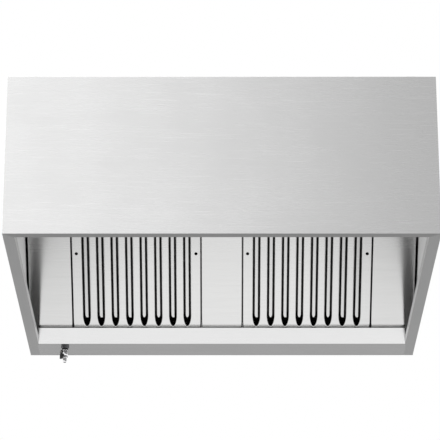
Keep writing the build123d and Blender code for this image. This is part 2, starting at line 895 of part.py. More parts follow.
ball_z = rim_z - ball_drop
chamber_top_z = seat_reach - ball_drop
stem_direction = Vector(-cos(radians(stem_turn)), -sin(radians(stem_turn)), 0)
stem_plane = Plane(
    origin=(-drain_offset, drain_y, ball_z),
    x_dir=(-stem_direction.Y, stem_direction.X, 0),
    z_dir=(stem_direction.X, stem_direction.Y, 0),
)
stem_bore_radius = stem_radius + stem_clearance

with BuildPart() as valve_body:
    with BuildSketch(valve_plane):
        with BuildLine():
            Polyline(
                (bush_radius + thread_clearance, bush_end_z),
                (bush_radius + thread_clearance, socket_z),
                (valve_collar_radius, socket_z),
                (valve_collar_radius, bush_end_z),
            )
            ThreePointArc(
                (valve_collar_radius, bush_end_z),
                (body_radius, -ball_drop),
                (body_waist_radius, -body_end_drop),
            )
            Polyline(
                (body_waist_radius, -body_end_drop),
                (chamber_radius, -body_end_drop),
                (chamber_radius, chamber_top_z),
                (seat_bore_radius, chamber_top_z),
                (seat_bore_radius, bush_end_z),
                (bush_radius + thread_clearance, bush_end_z),
            )
        make_face()
    revolve(axis=valve_axis)
    with BuildSketch(stem_plane.offset(chamber_radius)):
        Circle(neck_radius)
    extrude(amount=neck_reach - chamber_radius)
    with BuildSketch(stem_plane):
        Circle(stem_bore_radius)
    extrude(amount=neck_reach, mode=Mode.SUBTRACT)
    with BuildSketch(Plane.XY.offset(rim_z - body_end_drop)):
        with Locations((-drain_offset, drain_y)):
            Circle(chamber_radius)
    extrude(amount=body_end_drop + chamber_top_z, mode=Mode.SUBTRACT)

cap_hex_z = -body_end_drop - cap_hex_length
ridge_z = cap_hex_z - outlet_ridge_length

with BuildPart() as valve_end_cap:
    with BuildSketch(Plane.XY.offset(rim_z - body_end_drop)):
        with Locations((-drain_offset, drain_y)):
            Circle(seat_radius)
    extrude(amount=cap_plug_length)
    with BuildSketch(Plane.XY.offset(rim_z + cap_hex_z)):
        with Locations((-drain_offset, drain_y)):
            RegularPolygon(cap_flats / 2, 6, major_radius=False)
    extrude(amount=cap_hex_length)
    with BuildSketch(valve_plane):
        with BuildLine():
            Polyline(
                (0, cap_hex_z),
                (outlet_radius, cap_hex_z),
                (outlet_radius, ridge_z),
                (outlet_ridge_radius, ridge_z),
                (outlet_radius, ridge_z - outlet_ridge_length),
                (outlet_ridge_radius, ridge_z - outlet_ridge_length),
                (outlet_radius, -outlet_drop),
                (0, -outlet_drop),
                close=True,
            )
        make_face()
    revolve(axis=valve_axis)
    with BuildSketch(Plane.XY.offset(rim_z - outlet_drop)):
        with Locations((-drain_offset, drain_y)):
            Circle(seat_bore_radius)
    extrude(amount=outlet_drop, mode=Mode.SUBTRACT)
    with BuildSketch(Plane.XY.offset(rim_z - outlet_drop)):
        with Locations((-drain_offset, drain_y)):
            Circle(outlet_bore_radius)
    extrude(amount=outlet_bore_length, mode=Mode.SUBTRACT)

# Ball, its two seats, the stem and its gland nut

with BuildPart() as valve_seats:
    for end_z in (ball_z + seat_inner_height, ball_z - seat_reach):
        with BuildSketch(Plane.XY.offset(end_z)):
            with Locations((-drain_offset, drain_y)):
                Circle(seat_radius)
                Circle(seat_bore_radius, mode=Mode.SUBTRACT)
        extrude(amount=seat_reach - seat_inner_height)
    with Locations((-drain_offset, drain_y, ball_z)):
        Sphere(ball_radius + ball_clearance, mode=Mode.SUBTRACT)

with BuildPart() as valve_ball:
    with Locations((-drain_offset, drain_y, ball_z)):
        Sphere(ball_radius)
        Cylinder(ball_bore_radius, 2 * ball_radius, mode=Mode.SUBTRACT)
    with BuildSketch(stem_plane.offset(stem_tang_reach)):
        Rectangle(2 * ball_radius, stem_tang)
    extrude(amount=ball_radius, mode=Mode.SUBTRACT)

gland_top = neck_reach + gland_height
lever_foot = gland_top + lever_gap
lever_top = lever_foot + lever_sheet
stem_top = lever_top + lever_nut_height + stem_tip

with BuildPart() as valve_stem:
    with BuildSketch(stem_plane.offset(ball_radius)):
        Circle(stem_radius)
    extrude(amount=stem_top - ball_radius)
    with BuildSketch(stem_plane.offset(stem_tang_reach)):
        Rectangle(stem_tang_width, stem_tang)
    extrude(amount=ball_radius - stem_tang_reach)

with BuildPart() as valve_gland_nut:
    with BuildSketch(stem_plane.offset(neck_reach)):
        RegularPolygon(gland_flats / 2, 6, major_radius=False)
        Circle(stem_bore_radius, mode=Mode.SUBTRACT)
    extrude(amount=gland_height)

# Lever hanging down beside the body, its grip and its nut

with BuildPart() as valve_lever:
    with BuildSketch(stem_plane.offset(lever_foot)):
        Circle(lever_head_radius)
        with Locations((0, -lever_length / 2)):
            Rectangle(lever_width, lever_length)
        Circle(stem_radius, mode=Mode.SUBTRACT)
    extrude(amount=lever_sheet)

grip_low = lever_length + grip_end_overhang
grip_run = grip_low - grip_start

with BuildPart() as valve_lever_grip:
    with BuildSketch(stem_plane.offset(lever_foot + lever_sheet / 2 - grip_thickness / 2)):
        with Locations((0, -grip_start - grip_run / 2)):
            RectangleRounded(grip_width, grip_run, grip_corner)
    extrude(amount=grip_thickness)
    with BuildSketch(stem_plane.offset(lever_foot)):
        Circle(lever_head_radius)
        with Locations((0, -lever_length / 2)):
            Rectangle(lever_width, lever_length)
    extrude(amount=lever_sheet, mode=Mode.SUBTRACT)

with BuildPart() as valve_lever_nut:
    with BuildSketch(stem_plane.offset(lever_top)):
        RegularPolygon(lever_nut_flats / 2, 6, major_radius=False)
        Circle(stem_radius, mode=Mode.SUBTRACT)
    extrude(amount=lever_nut_height)

# Files, one for each piece

pieces = {
    "front_panel": front_panel,
    "left_side_panel": left_side_panel,
    "right_side_panel": right_side_panel,
    "back_panel": back_panel,
    "top_panel": top_panel,
    "grease_trough": grease_trough,
    "exhaust_collar": exhaust_collar,
    "collar_rivets": collar_rivets,
    "left_hanger_rail": left_hanger_rail,
    "right_hanger_rail": right_hanger_rail,
    "hanger_bolts": hanger_bolts,
    "hanger_nuts": hanger_nuts,
    "front_stiffener": front_stiffener,
    "middle_stiffener": middle_stiffener,
    "upper_filter_rail": upper_filter_rail,
    "filter_rail_closure": filter_rail_closure,
    "lower_filter_rail": lower_filter_rail,
    "filter_rail_brackets": filter_rail_brackets,
    "left_blanking_panel": left_blanking_panel,
    "centre_blanking_panel": centre_blanking_panel,
    "right_blanking_panel": right_blanking_panel,
    "blanking_panel_rivets": blanking_panel_rivets,
    "drain_bush": drain_bush,
    "drain_locknut": drain_locknut,
    "valve_body": valve_body,
    "valve_end_cap": valve_end_cap,
    "valve_seats": valve_seats,
    "valve_ball": valve_ball,
    "valve_stem": valve_stem,
    "valve_gland_nut": valve_gland_nut,
    "valve_lever": valve_lever,
    "valve_lever_grip": valve_lever_grip,
    "valve_lever_nut": valve_lever_nut,
}
for side_name, middle_x in (("left", -filter_offset), ("right", filter_offset)):
    pieces[f"{side_name}_filter_front_plate"] = filter_front_plate(middle_x)
    pieces[f"{side_name}_filter_frame"] = filter_frame(middle_x)
    pieces[f"{side_name}_filter_rear_baffle"] = filter_rear_baffle(middle_x)
    pieces[f"{side_name}_filter_rivets"] = filter_rivets(middle_x)

for name, piece in pieces.items():
    write(piece, name)
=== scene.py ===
from math import cos, pi, radians, sin, sqrt

import bmesh
import bpy
from mathutils import Matrix, Quaternion, Vector
from mathutils.geometry import tessellate_polygon


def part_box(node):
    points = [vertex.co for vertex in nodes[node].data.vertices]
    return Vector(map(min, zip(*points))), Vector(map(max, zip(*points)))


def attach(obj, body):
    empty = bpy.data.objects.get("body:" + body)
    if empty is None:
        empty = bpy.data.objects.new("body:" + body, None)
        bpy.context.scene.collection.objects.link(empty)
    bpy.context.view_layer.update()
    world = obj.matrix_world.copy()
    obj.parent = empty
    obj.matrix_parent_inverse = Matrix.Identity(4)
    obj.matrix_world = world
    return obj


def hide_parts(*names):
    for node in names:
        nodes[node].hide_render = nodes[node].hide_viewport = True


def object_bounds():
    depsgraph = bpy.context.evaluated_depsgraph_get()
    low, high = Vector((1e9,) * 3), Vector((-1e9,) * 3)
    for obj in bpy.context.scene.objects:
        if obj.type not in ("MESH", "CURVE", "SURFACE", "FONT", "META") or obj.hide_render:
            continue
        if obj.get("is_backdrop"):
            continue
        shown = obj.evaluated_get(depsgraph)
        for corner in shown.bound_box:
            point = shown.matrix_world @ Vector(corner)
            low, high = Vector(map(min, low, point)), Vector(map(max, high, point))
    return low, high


# Commercial canopy hood in brushed stainless steel, on a plain pale floor.
# Metres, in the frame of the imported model: X to the right, Y towards the wall, Z up.

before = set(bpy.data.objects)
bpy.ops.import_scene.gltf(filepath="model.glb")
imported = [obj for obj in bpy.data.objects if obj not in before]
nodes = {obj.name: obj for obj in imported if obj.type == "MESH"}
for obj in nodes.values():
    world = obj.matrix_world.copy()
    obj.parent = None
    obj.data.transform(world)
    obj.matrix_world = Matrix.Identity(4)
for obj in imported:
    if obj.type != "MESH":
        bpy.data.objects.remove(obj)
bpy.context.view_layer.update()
scene = bpy.context.scene
scene.view_settings.view_transform = "Standard"
MM = 0.001

# Camera, fitted to the edges in the photo
CAMERA_PLACE = (0.0, -6.6457, -2.8823)
CAMERA_PITCH = 21.613
CAMERA_YAW = 0.046
CAMERA_LENS = 193.6
SENSOR_WIDTH = 36.0
CLIP_END = 100.0

# Floor
FLOOR_LEVEL = -3.4
FLOOR_SIZE = 60.0
FLOOR_TONES = ((0.80,) * 3, (0.84,) * 3)

# Brightness of the surroundings on matt surfaces, above and below the horizon
SKY = 0.8
GROUND = 0.6
HORIZON_LOW, HORIZON_HIGH = -0.08, 0.12

# Lamps: name, place, target, size, roll in degrees, watts
LAMPS = [
    ("key_lamp", (-1.75, -5.0, 1.6), (-0.2, -0.5, -0.3), 4.2, 45.0, 70.0),
    ("fill_lamp", (3.4, -3.6, 0.4), (0.0, -0.4, -0.3), 4.0, 0.0, 8.0),
    ("roof_lamp", (0.0, 0.2, 3.6), (0.0, 0.0, 0.0), 4.0, 0.0, 8.0),
    ("back_lamp", (1.6, 4.6, 1.2), (0.0, 0.4, -0.3), 4.0, 0.0, 12.0),
]

# Finishes
STEEL = (0.48, 0.48, 0.48)
# The trough's lighter tone is painted light from below
TROUGH_PAINTED_LIGHT_TONE = (0.85, 0.85, 0.85)
FILTER_STEEL = (0.79, 0.79, 0.785)
GALVANISED = (0.42, 0.43, 0.44)
FASTENER = (0.66, 0.66, 0.67)
DARK_ZINC = (0.20, 0.20, 0.21)
CHROME = (0.90, 0.90, 0.91)
PLATED_BRASS = (0.50, 0.47, 0.41)

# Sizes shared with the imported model
HALF_WIDTH = 0.6096
HALF_DEPTH = 0.5334
RIM = -0.502
GUTTER_WIDTH = 0.0325
TROUGH_LIP_LOW, TROUGH_LIP_HIGH = -0.461, -0.456
SEAT = Vector((0.0, 0.4145, -0.4535))
FILTER_WIDTH = 399.0 * MM
FILTER_LENGTH = 498.0 * MM
FILTER_OFFSET = 266.3 * MM
FILTER_SHEET = 0.8 * MM
FILTER_RIM_DEPTH = 12.0 * MM
FILTER_BEND = 1.8 * MM
SLOT_COUNT = 8
SLOT_PITCH = 45.1 * MM
SLOT_WIDTH = 22.8 * MM
SLOT_END_MARGIN = 9.0 * MM
SLOT_END_REACH = 42.0 * MM
SLOT_LIP_DEPTH = 5.0 * MM
SLOT_ROLL = 3.8 * MM
HOOK_HOLE_RADIUS = 4.9 * MM
HOOK_HOLE_X = 186.0 * MM
HOOK_HOLE_RISE = 9.8 * MM
HOLE_ROLL = 0.6 * MM
SUPPORT = 0.3 * MM

# Filters' own frame: X across, Y up the slope, Z out of the face
SLOPE = sqrt(0.5)
FACE_FRAME = Matrix((
    (1.0, 0.0, 0.0, 0.0),
    (0.0, -SLOPE, -SLOPE, SEAT.y),
    (0.0, SLOPE, -SLOPE, SEAT.z),
    (0.0, 0.0, 0.0, 1.0),
))


# Node helpers

def feed(tree, socket, value):
    """Put a number, a colour or another node's output into a socket."""
    if isinstance(value, bpy.types.NodeSocket):
        tree.links.new(value, socket)
    else:
        socket.default_value = value


def number(tree, operation, *values):
    node = tree.nodes.new("ShaderNodeMath")
    node.operation = operation
    for socket, value in zip(node.inputs, values):
        feed(tree, socket, value)
    return node.outputs[0]


def ease(tree, value, low, high, start=0.0, end=1.0):
    """Smooth step of a value from low to high."""
    node = tree.nodes.new("ShaderNodeMapRange")
    node.interpolation_type = "SMOOTHSTEP"
    feed(tree, node.inputs["Value"], value)
    node.inputs["From Min"].default_value = low
    node.inputs["From Max"].default_value = high
    node.inputs["To Min"].default_value = start
    node.inputs["To Max"].default_value = end
    return node.outputs["Result"]


def blend(tree, share, first, second):
    """Number between two others, as a share of the second."""
    node = tree.nodes.new("ShaderNodeMix")
    feed(tree, node.inputs["Factor"], share)
    feed(tree, node.inputs["A"], first)
    feed(tree, node.inputs["B"], second)
    return node.outputs["Result"]


def mix_colour(tree, share, first, second, kind="MIX"):
    node = tree.nodes.new("ShaderNodeMix")
    node.data_type = "RGBA"
    node.blend_type = kind
    feed(tree, node.inputs[0], share)
    for index, colour in ((6, first), (7, second)):
        feed(tree, node.inputs[index], colour if isinstance(colour, bpy.types.NodeSocket) else (*colour, 1))
    return node.outputs[2]


def object_coords(tree):
    return tree.nodes.new("ShaderNodeTexCoord").outputs["Object"]


def noise(tree, coords, scale, detail=2.0, roughness=0.5, offset=0.0, turn=(0, 0, 0)):
    """Noise of a coordinate turned and then stretched by three scales."""
    if any(turn):
        rotate = tree.nodes.new("ShaderNodeMapping")
        tree.links.new(coords, rotate.inputs["Vector"])
        rotate.inputs["Rotation"].default_value = turn
        coords = rotate.outputs[0]
    mapping = tree.nodes.new("ShaderNodeMapping")
    tree.links.new(coords, mapping.inputs["Vector"])
    mapping.inputs["Scale"].default_value = scale
    mapping.inputs["Location"].default_value = (offset, offset, offset)
    node = tree.nodes.new("ShaderNodeTexNoise")
    tree.links.new(mapping.outputs[0], node.inputs["Vector"])
    node.inputs["Scale"].default_value = 1.0
    node.inputs["Detail"].default_value = detail
    node.inputs["Roughness"].default_value = roughness
    return node.outputs["Fac"]


def new_material(name):
    material = bpy.data.materials.new(name)
    material.use_nodes = True
    tree = material.node_tree
    return material, tree, tree.nodes["Principled BSDF"]


def add_bump(tree, shader, height, strength, distance):
    bump = tree.nodes.new("ShaderNodeBump")
    bump.inputs["Strength"].default_value = strength
    bump.inputs["Distance"].default_value = distance
    tree.links.new(height, bump.inputs["Height"])
    tree.links.new(bump.outputs[0], shader.inputs["Normal"])


def edge_mask(tree, radius):
    """One on rounded-off edges, zero on flat faces."""
    flat, rounded = 0.99, 0.80
    bevel = tree.nodes.new("ShaderNodeBevel")
    bevel.samples = 4
    bevel.inputs["Radius"].default_value = radius
    geometry = tree.nodes.new("ShaderNodeNewGeometry")
    dot = tree.nodes.new("ShaderNodeVectorMath")
    dot.operation = "DOT_PRODUCT"
    tree.links.new(bevel.outputs[0], dot.inputs[0])
    tree.links.new(geometry.outputs["Normal"], dot.inputs[1])
    return ease(tree, dot.outputs["Value"], flat, rounded)


def axis_of(tree, coords, axis):
    """One coordinate of a point."""
    parts = tree.nodes.new("ShaderNodeSeparateXYZ")
    tree.links.new(coords, parts.inputs[0])
    return parts.outputs[axis]


def face_depth(tree, coords):
    """How far a point lies behind the plane of the filter faces."""
    both = number(tree, "ADD", axis_of(tree, coords, "Y"), axis_of(tree, coords, "Z"))
    return number(tree, "MULTIPLY_ADD", both, SLOPE, -(SEAT.y + SEAT.z) * SLOPE)


# Grain directions: axis along the grain, turn of the coordinate, tangent across the grain
GRAINS = {
    "x": ((1, 0, 0), (0, 0, 0), (0, 0.5, 1)),
    "y": ((0, 1, 0), (0, 0, 0), (0.5, 0, 1)),
    "slope": ((0, 1, 0), (radians(45), 0, 0), (1, 0, 0)),
}


# Brushed grain: noise scales along and across it, and how much each noise counts
FINE_GRAIN, FINE_SHARE = (11, 1500), 0.62
MIDDLE_GRAIN, MIDDLE_SHARE = (5, 420), 0.38
BROAD_GRAIN, BROAD_SHARE = (1.3, 40), 0.16
GRAIN_CONTRAST, GRAIN_ROUGHNESS, SMUDGE_ROUGHNESS = 0.03, 0.05, 0.06
GRAIN_BUMP, GRAIN_HEIGHT = 0.14, 0.2 * MM

# Scratches, and worn edges lightened also as a painted highlight: where a noise counts as a scratch, and how
# bright and how deep they are
SCRATCH_GRAIN, SCRATCH_FROM, SCRATCH_FULL = (7, 900), 0.69, 0.74
SCRATCH_SHINE, SCRATCH_BUMP = 0.25, 0.4
WEAR_AND_HIGHLIGHT_TONE = (0.88,) * 3
EDGE_WIDTH, EDGE_WEAR_AND_HIGHLIGHT, EDGE_POLISH = 1.2 * MM, 0.6, -0.08

# Soft limits of the painted shade behind the filter faces, of the painted tone on inner faces and of the
# painted shade on undersides of the sheet
PAINTED_SHADE_FADE, PAINTED_SHADE_ROUGHNESS = 3.0 * MM, 0.7
UNDERSIDE_LOW, UNDERSIDE_HIGH = 0.3 * MM, 1.2 * MM
INNER_FROM, INNER_FULL = 0.3 * MM, 0.9 * MM
GUTTER_FROM, GUTTER_FULL = 2.0 * MM, 6.0 * MM

# Slopes, with roughness falling towards the foot and painted shade in the top corners: heights above the
# filters' seat and distances from the hood's middle
FOOT_LOW, FOOT_HIGH = -0.02, 0.34
CORNER_SHADE_LOW, CORNER_SHADE_HIGH, CORNER_SHADE_AT_FOOT = 0.0, 0.36, 0.33
CORNER_SHADE_INNER, CORNER_SHADE_OUTER, CORNER_SHADE_IN_MIDDLE = 0.2, 0.58, 0.22


def inner_face(tree, coords, axis, outer):
    """One on a casing panel's inner face, zero outside and in its gutter."""
    distance = number(tree, "ABSOLUTE", axis_of(tree, coords, axis))
    inside = ease(tree, distance, outer - INNER_FROM, outer - INNER_FULL)
    gutter_edge = outer - GUTTER_WIDTH
    past_gutter = ease(tree, distance, gutter_edge + GUTTER_FROM, gutter_edge + GUTTER_FULL)
    return number(tree, "MULTIPLY", inside, past_gutter)


def top_corner_painted_shade(tree, coords, rise):
    """Painted shade, strongest towards the top outer corners of the slopes."""
    aside = number(tree, "ABSOLUTE", axis_of(tree, coords, "X"))
    aside = ease(tree, aside, CORNER_SHADE_INNER, CORNER_SHADE_OUTER, CORNER_SHADE_IN_MIDDLE)
    return number(tree, "MULTIPLY", aside, ease(tree, rise, CORNER_SHADE_LOW, CORNER_SHADE_HIGH, CORNER_SHADE_AT_FOOT, 1.0))


def brushed(
    name, tone, roughness, grain, spread, painted_shade_depth=None, painted_shade_tone=0.02, foot=1.0, corner=0.0, rim_shade_tone=1.0,
    lip=1.0, inner_face_painted_tone=1.0,
):
    """Brushed sheet: streaks and fine scratches along the grain, reflections drawn out across it.

    Painted shade: the sheet turns dark from a depth behind the filter faces on, in slots and seams.
    Towards the foot of the slopes its roughness falls to a share of itself, and painted shade darkens the
    top corners. Undersides at the rim have a tone of painted shade and inner faces a painted tone, light
    above one and shade below one, and the lip of the trough its own roughness, each as a share.
    """
    material, tree, shader = new_material(name)
    coords = object_coords(tree)
    along, turn, across = GRAINS[grain]

    def grained(scales, detail, offset=0.0):
        length, width = scales
        stretched = tuple(length if axis else width for axis in along)
        return noise(tree, coords, stretched, detail, offset=offset, turn=turn)

    def toned(share):
        return [part * share for part in tone]

    def height():
        return axis_of(tree, coords, "Z")

    fine = grained(FINE_GRAIN, 2)
    middle = grained(MIDDLE_GRAIN, 2, 3.1)
    broad = grained(BROAD_GRAIN, 2, 7.7)
    smudge = noise(tree, coords, (4, 4, 4), 4, 0.6, offset=1.3)
    scratch = ease(tree, grained(SCRATCH_GRAIN, 1, 11.9), SCRATCH_FROM, SCRATCH_FULL)
    streak = number(tree, "MULTIPLY_ADD", fine, FINE_SHARE, number(tree, "MULTIPLY", middle, MIDDLE_SHARE))
    rest = number(tree, "MULTIPLY", streak, 1 - BROAD_SHARE)
    value = ease(tree, number(tree, "MULTIPLY_ADD", broad, BROAD_SHARE, rest), 0.3, 0.7)
    edge = edge_mask(tree, EDGE_WIDTH)
    colour = mix_colour(tree, value, toned(1 - GRAIN_CONTRAST), toned(1 + GRAIN_CONTRAST))
    shine = number(tree, "MULTIPLY", scratch, SCRATCH_SHINE)
    # Worn edges are lightened, partly as wear and partly as a painted highlight
    worn = number(tree, "MAXIMUM", shine, number(tree, "MULTIPLY", edge, EDGE_WEAR_AND_HIGHLIGHT))
    colour = mix_colour(tree, worn, colour, WEAR_AND_HIGHLIGHT_TONE)
    rough = number(tree, "MULTIPLY_ADD", value, GRAIN_ROUGHNESS, roughness - GRAIN_ROUGHNESS)
    rough = number(tree, "MULTIPLY_ADD", smudge, SMUDGE_ROUGHNESS, rough)
    rough = number(tree, "MULTIPLY_ADD", edge, EDGE_POLISH, rough)
    if foot < 1.0:
        rise = number(tree, "SUBTRACT", height(), SEAT.z)
        rough = number(tree, "MULTIPLY", rough, ease(tree, rise, FOOT_LOW, FOOT_HIGH, foot, 1.0))
        # Painted shade darkens the top outer corners of the slopes
        painted_corner_shade = top_corner_painted_shade(tree, coords, rise)
        colour = mix_colour(tree, number(tree, "MULTIPLY", painted_corner_shade, corner), colour, (0.0,) * 3)
    # Inner faces get a painted tone: painted light above one, painted shade below one
    if inner_face_painted_tone != 1.0:
        axis, outer = ("X", HALF_WIDTH) if grain == "y" else ("Y", HALF_DEPTH)
        colour = mix_colour(tree, inner_face(tree, coords, axis, outer), colour, toned(inner_face_painted_tone))
    # Painted shade on the undersides at the rim
    if rim_shade_tone < 1.0:
        painted_underside_shade = ease(tree, height(), RIM + UNDERSIDE_HIGH, RIM + UNDERSIDE_LOW)
        colour = mix_colour(tree, painted_underside_shade, colour, toned(rim_shade_tone))
    if lip < 1.0:
        share = ease(tree, height(), TROUGH_LIP_LOW, TROUGH_LIP_HIGH, 1.0, lip)
        rough = number(tree, "MULTIPLY", rough, share)
    # Painted shade: the sheet turns dark from a depth behind the filter faces on, in slots and seams
    if painted_shade_depth is not None:
        dark = ease(tree, face_depth(tree, coords), painted_shade_depth, painted_shade_depth + PAINTED_SHADE_FADE)
        colour = mix_colour(tree, dark, colour, (painted_shade_tone,) * 3)
        rough = blend(tree, dark, rough, PAINTED_SHADE_ROUGHNESS)
    tree.links.new(colour, shader.inputs["Base Color"])
    tree.links.new(rough, shader.inputs["Roughness"])
    shader.inputs["Metallic"].default_value = 1.0
    shader.inputs["Anisotropic"].default_value = spread
    tangent = tree.nodes.new("ShaderNodeCombineXYZ")
    for socket, part in zip(tangent.inputs, across):
        socket.default_value = part
    tree.links.new(tangent.outputs[0], shader.inputs["Tangent"])
    relief = number(tree, "MULTIPLY_ADD", scratch, SCRATCH_BUMP, streak)
    add_bump(tree, shader, relief, GRAIN_BUMP, GRAIN_HEIGHT)
    return material


def plain_metal(name, tone, roughness, variation=0.06, scale=260.0, edge_tone=None, bump=0.1, metallic=1.0):
    """Turned, plated or cast metal: cloudy tone, fine pits, rubbed edges."""
    edge_width, edge_wear = 0.6 * MM, 0.6
    cloud_roughness, pit_roughness, pit_height = 0.12, 0.05, 0.1 * MM
    material, tree, shader = new_material(name)
    coords = object_coords(tree)
    cloud = noise(tree, coords, (scale / 6,) * 3, 4, 0.6)
    pits = noise(tree, coords, (scale * 6,) * 3, 3, 0.7, offset=5.1)
    edge = edge_mask(tree, edge_width)
    dark = [part * (1 - variation) for part in tone]
    light = [min(1.0, part * (1 + variation)) for part in tone]
    colour = mix_colour(tree, ease(tree, cloud, 0.3, 0.7), dark, light)
    colour = mix_colour(tree, number(tree, "MULTIPLY", edge, edge_wear), colour, edge_tone or light)
    tree.links.new(colour, shader.inputs["Base Color"])
    rough = number(tree, "MULTIPLY_ADD", cloud, cloud_roughness, roughness - cloud_roughness / 2)
    rough = number(tree, "MULTIPLY_ADD", pits, pit_roughness, rough)
    tree.links.new(rough, shader.inputs["Roughness"])
    shader.inputs["Metallic"].default_value = metallic
    add_bump(tree, shader, pits, bump, pit_height)
    return material


def galvanised(name, tone):
    """Zinc-coated strip with soft spangle."""
    spangle_scale, spangle_share = 95.0, 0.55
    dark_share, light_share = 0.86, 1.12
    edge_wear, edge_tone = 0.5, (0.78, 0.78, 0.79)
    least_roughness, spangle_roughness, grain_roughness = 0.34, 0.16, 0.06
    material, tree, shader = new_material(name)
    coords = object_coords(tree)
    cells = tree.nodes.new("ShaderNodeTexVoronoi")
    tree.links.new(coords, cells.inputs["Vector"])
    cells.inputs["Scale"].default_value = spangle_scale
    parts = tree.nodes.new("ShaderNodeSeparateColor")
    tree.links.new(cells.outputs["Color"], parts.inputs[0])
    cloud = noise(tree, coords, (14,) * 3, 4, 0.6)
    grain = noise(tree, coords, (900,) * 3, 2, offset=2.3)
    rest = number(tree, "MULTIPLY", cloud, 1 - spangle_share)
    value = number(tree, "MULTIPLY_ADD", parts.outputs[0], spangle_share, rest)
    edge = edge_mask(tree, EDGE_WIDTH)
    dark, light = [part * dark_share for part in tone], [part * light_share for part in tone]
    colour = mix_colour(tree, value, dark, light)
    colour = mix_colour(tree, number(tree, "MULTIPLY", edge, edge_wear), colour, edge_tone)
    tree.links.new(colour, shader.inputs["Base Color"])
    rough = number(tree, "MULTIPLY_ADD", parts.outputs[1], spangle_roughness, least_roughness)
    rough = number(tree, "MULTIPLY_ADD", grain, grain_roughness, rough)
    tree.links.new(rough, shader.inputs["Roughness"])
    shader.inputs["Metallic"].default_value = 1.0
    add_bump(tree, shader, grain, 0.12, 0.1 * MM)
    return material


def coated(name, tone, roughness, coat, pits, worn):
    """Black coating or dipped plastic, with a little wear on its edges."""
    edge_width, worn_tone = 0.5 * MM, (0.42,) * 3
    dark_share, light_share = 0.7, 1.5
    cloud_roughness, coat_roughness = 0.14, 0.12
    material, tree, shader = new_material(name)
    coords = object_coords(tree)
    cloud = noise(tree, coords, (70,) * 3, 4, 0.6)
    grain = noise(tree, coords, (1800,) * 3, 3, 0.6, offset=4.7)
    edge = number(tree, "MULTIPLY", edge_mask(tree, edge_width), ease(tree, grain, 0.42, 0.62))
    dark, light = [part * dark_share for part in tone], [part * light_share for part in tone]
    colour = mix_colour(tree, cloud, dark, light)
    colour = mix_colour(tree, number(tree, "MULTIPLY", edge, worn), colour, worn_tone)
    tree.links.new(colour, shader.inputs["Base Color"])
    rough = number(tree, "MULTIPLY_ADD", cloud, cloud_roughness, roughness - cloud_roughness / 2)
    tree.links.new(rough, shader.inputs["Roughness"])
    shader.inputs["Coat Weight"].default_value = coat
    shader.inputs["Coat Roughness"].default_value = coat_roughness
    add_bump(tree, shader, grain, pits, 0.2 * MM)
    return material


def paint(material, *names):
    for name in names:
        slots = nodes[name].data.materials
        for index in range(len(slots)):
            slots[index] = material
        if not slots:
            slots.append(material)


# Mesh helpers

def skin(bm, rings, closed=True):
    """Quads between successive rings of points. Returns the rows of vertices."""
    rows = [[bm.verts.new(point) for point in ring] for ring in rings]
    for first, second in zip(rows, rows[1:]):
        count = len(first)
        for i in range(count if closed else count - 1):
            j = (i + 1) % count
            bm.faces.new((first[i], first[j], second[j], second[i]))
    return rows


def finish_piece(bm, name, body, material, replaced=(), sharp=40.0, place=None):
    """Object from a mesh, smooth but for its sharp edges, riding on a body."""
    if place is not None:
        bmesh.ops.transform(bm, matrix=place, verts=bm.verts)
    for face in bm.faces:
        face.smooth = True
    for edge in bm.edges:
        edge.smooth = len(edge.link_faces) == 2 and edge.calc_face_angle(0.0) < radians(sharp)
    mesh = bpy.data.meshes.new(name)
    bm.to_mesh(mesh)
    bm.free()
    mesh.materials.append(material)
    piece = bpy.data.objects.new(name, mesh)
    scene.collection.objects.link(piece)
    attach(piece, body)
    if replaced:
        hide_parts(*replaced)
    return piece


def circle(radius, height, steps):
    angles = [2 * pi * i / steps for i in range(steps)]
    return [Vector((radius * cos(angle), radius * sin(angle), height)) for angle in angles]


def turned(bm, profile, steps=32, place=None):
    """Closed turned shape from (radius, height) pairs, lowest to highest, about the local Z axis."""
    rings = [circle(radius, height, steps) for radius, height in profile]
    if place is not None:
        rings = [[place @ point for point in ring] for ring in rings]
    rows = skin(bm, rings)
    if profile[0] != profile[-1]:
        bm.faces.new(list(reversed(rows[0])))
        bm.faces.new(rows[-1])
    return rows


def clipped_hexagon(half, limit, height, steps):
    """Hexagon cut by a circle."""
    points = []
    for i in range(steps):
        angle = 2 * pi * i / steps
        from_flat = (angle % (pi / 3)) - pi / 6
        radius = min(half / cos(from_flat), limit)
        points.append(Vector((radius * cos(angle), radius * sin(angle), height)))
    return points


def hexagon(bm, flats, low, high, chamfer_low, chamfer_high, bore=0.0, place=None, steps=48):
    """Hexagon with turned chamfers on one or both ends and an optional bore."""
    chamfer_steps, chamfer_slant, top_share = 4, 0.55, 0.97
    half = flats / 2
    reach = half / cos(pi / 6)
    inner = half * top_share
    drop = (reach - inner) * chamfer_slant
    shares = [step / chamfer_steps for step in range(chamfer_steps + 1)]
    levels = []
    if chamfer_low:
        levels += [(low + drop * share, inner + (reach - inner) * share) for share in shares]
    else:
        levels.append((low, reach))
    if chamfer_high:
        levels += [(high - drop * share, inner + (reach - inner) * share) for share in reversed(shares)]
    else:
        levels.append((high, reach))
    rings = [clipped_hexagon(half, limit, height, steps) for height, limit in levels]
    if bore:
        inside_low = circle(bore, low, steps)
        rings = [inside_low, *rings, circle(bore, high, steps), inside_low]
    if place is not None:
        rings = [[place @ point for point in one] for one in rings]
    rows = skin(bm, rings)
    if bore:
        bmesh.ops.remove_doubles(bm, verts=rows[0] + rows[-1], dist=1e-7)
    else:
        bm.faces.new(list(reversed(rows[0])))
        bm.faces.new(rows[-1])


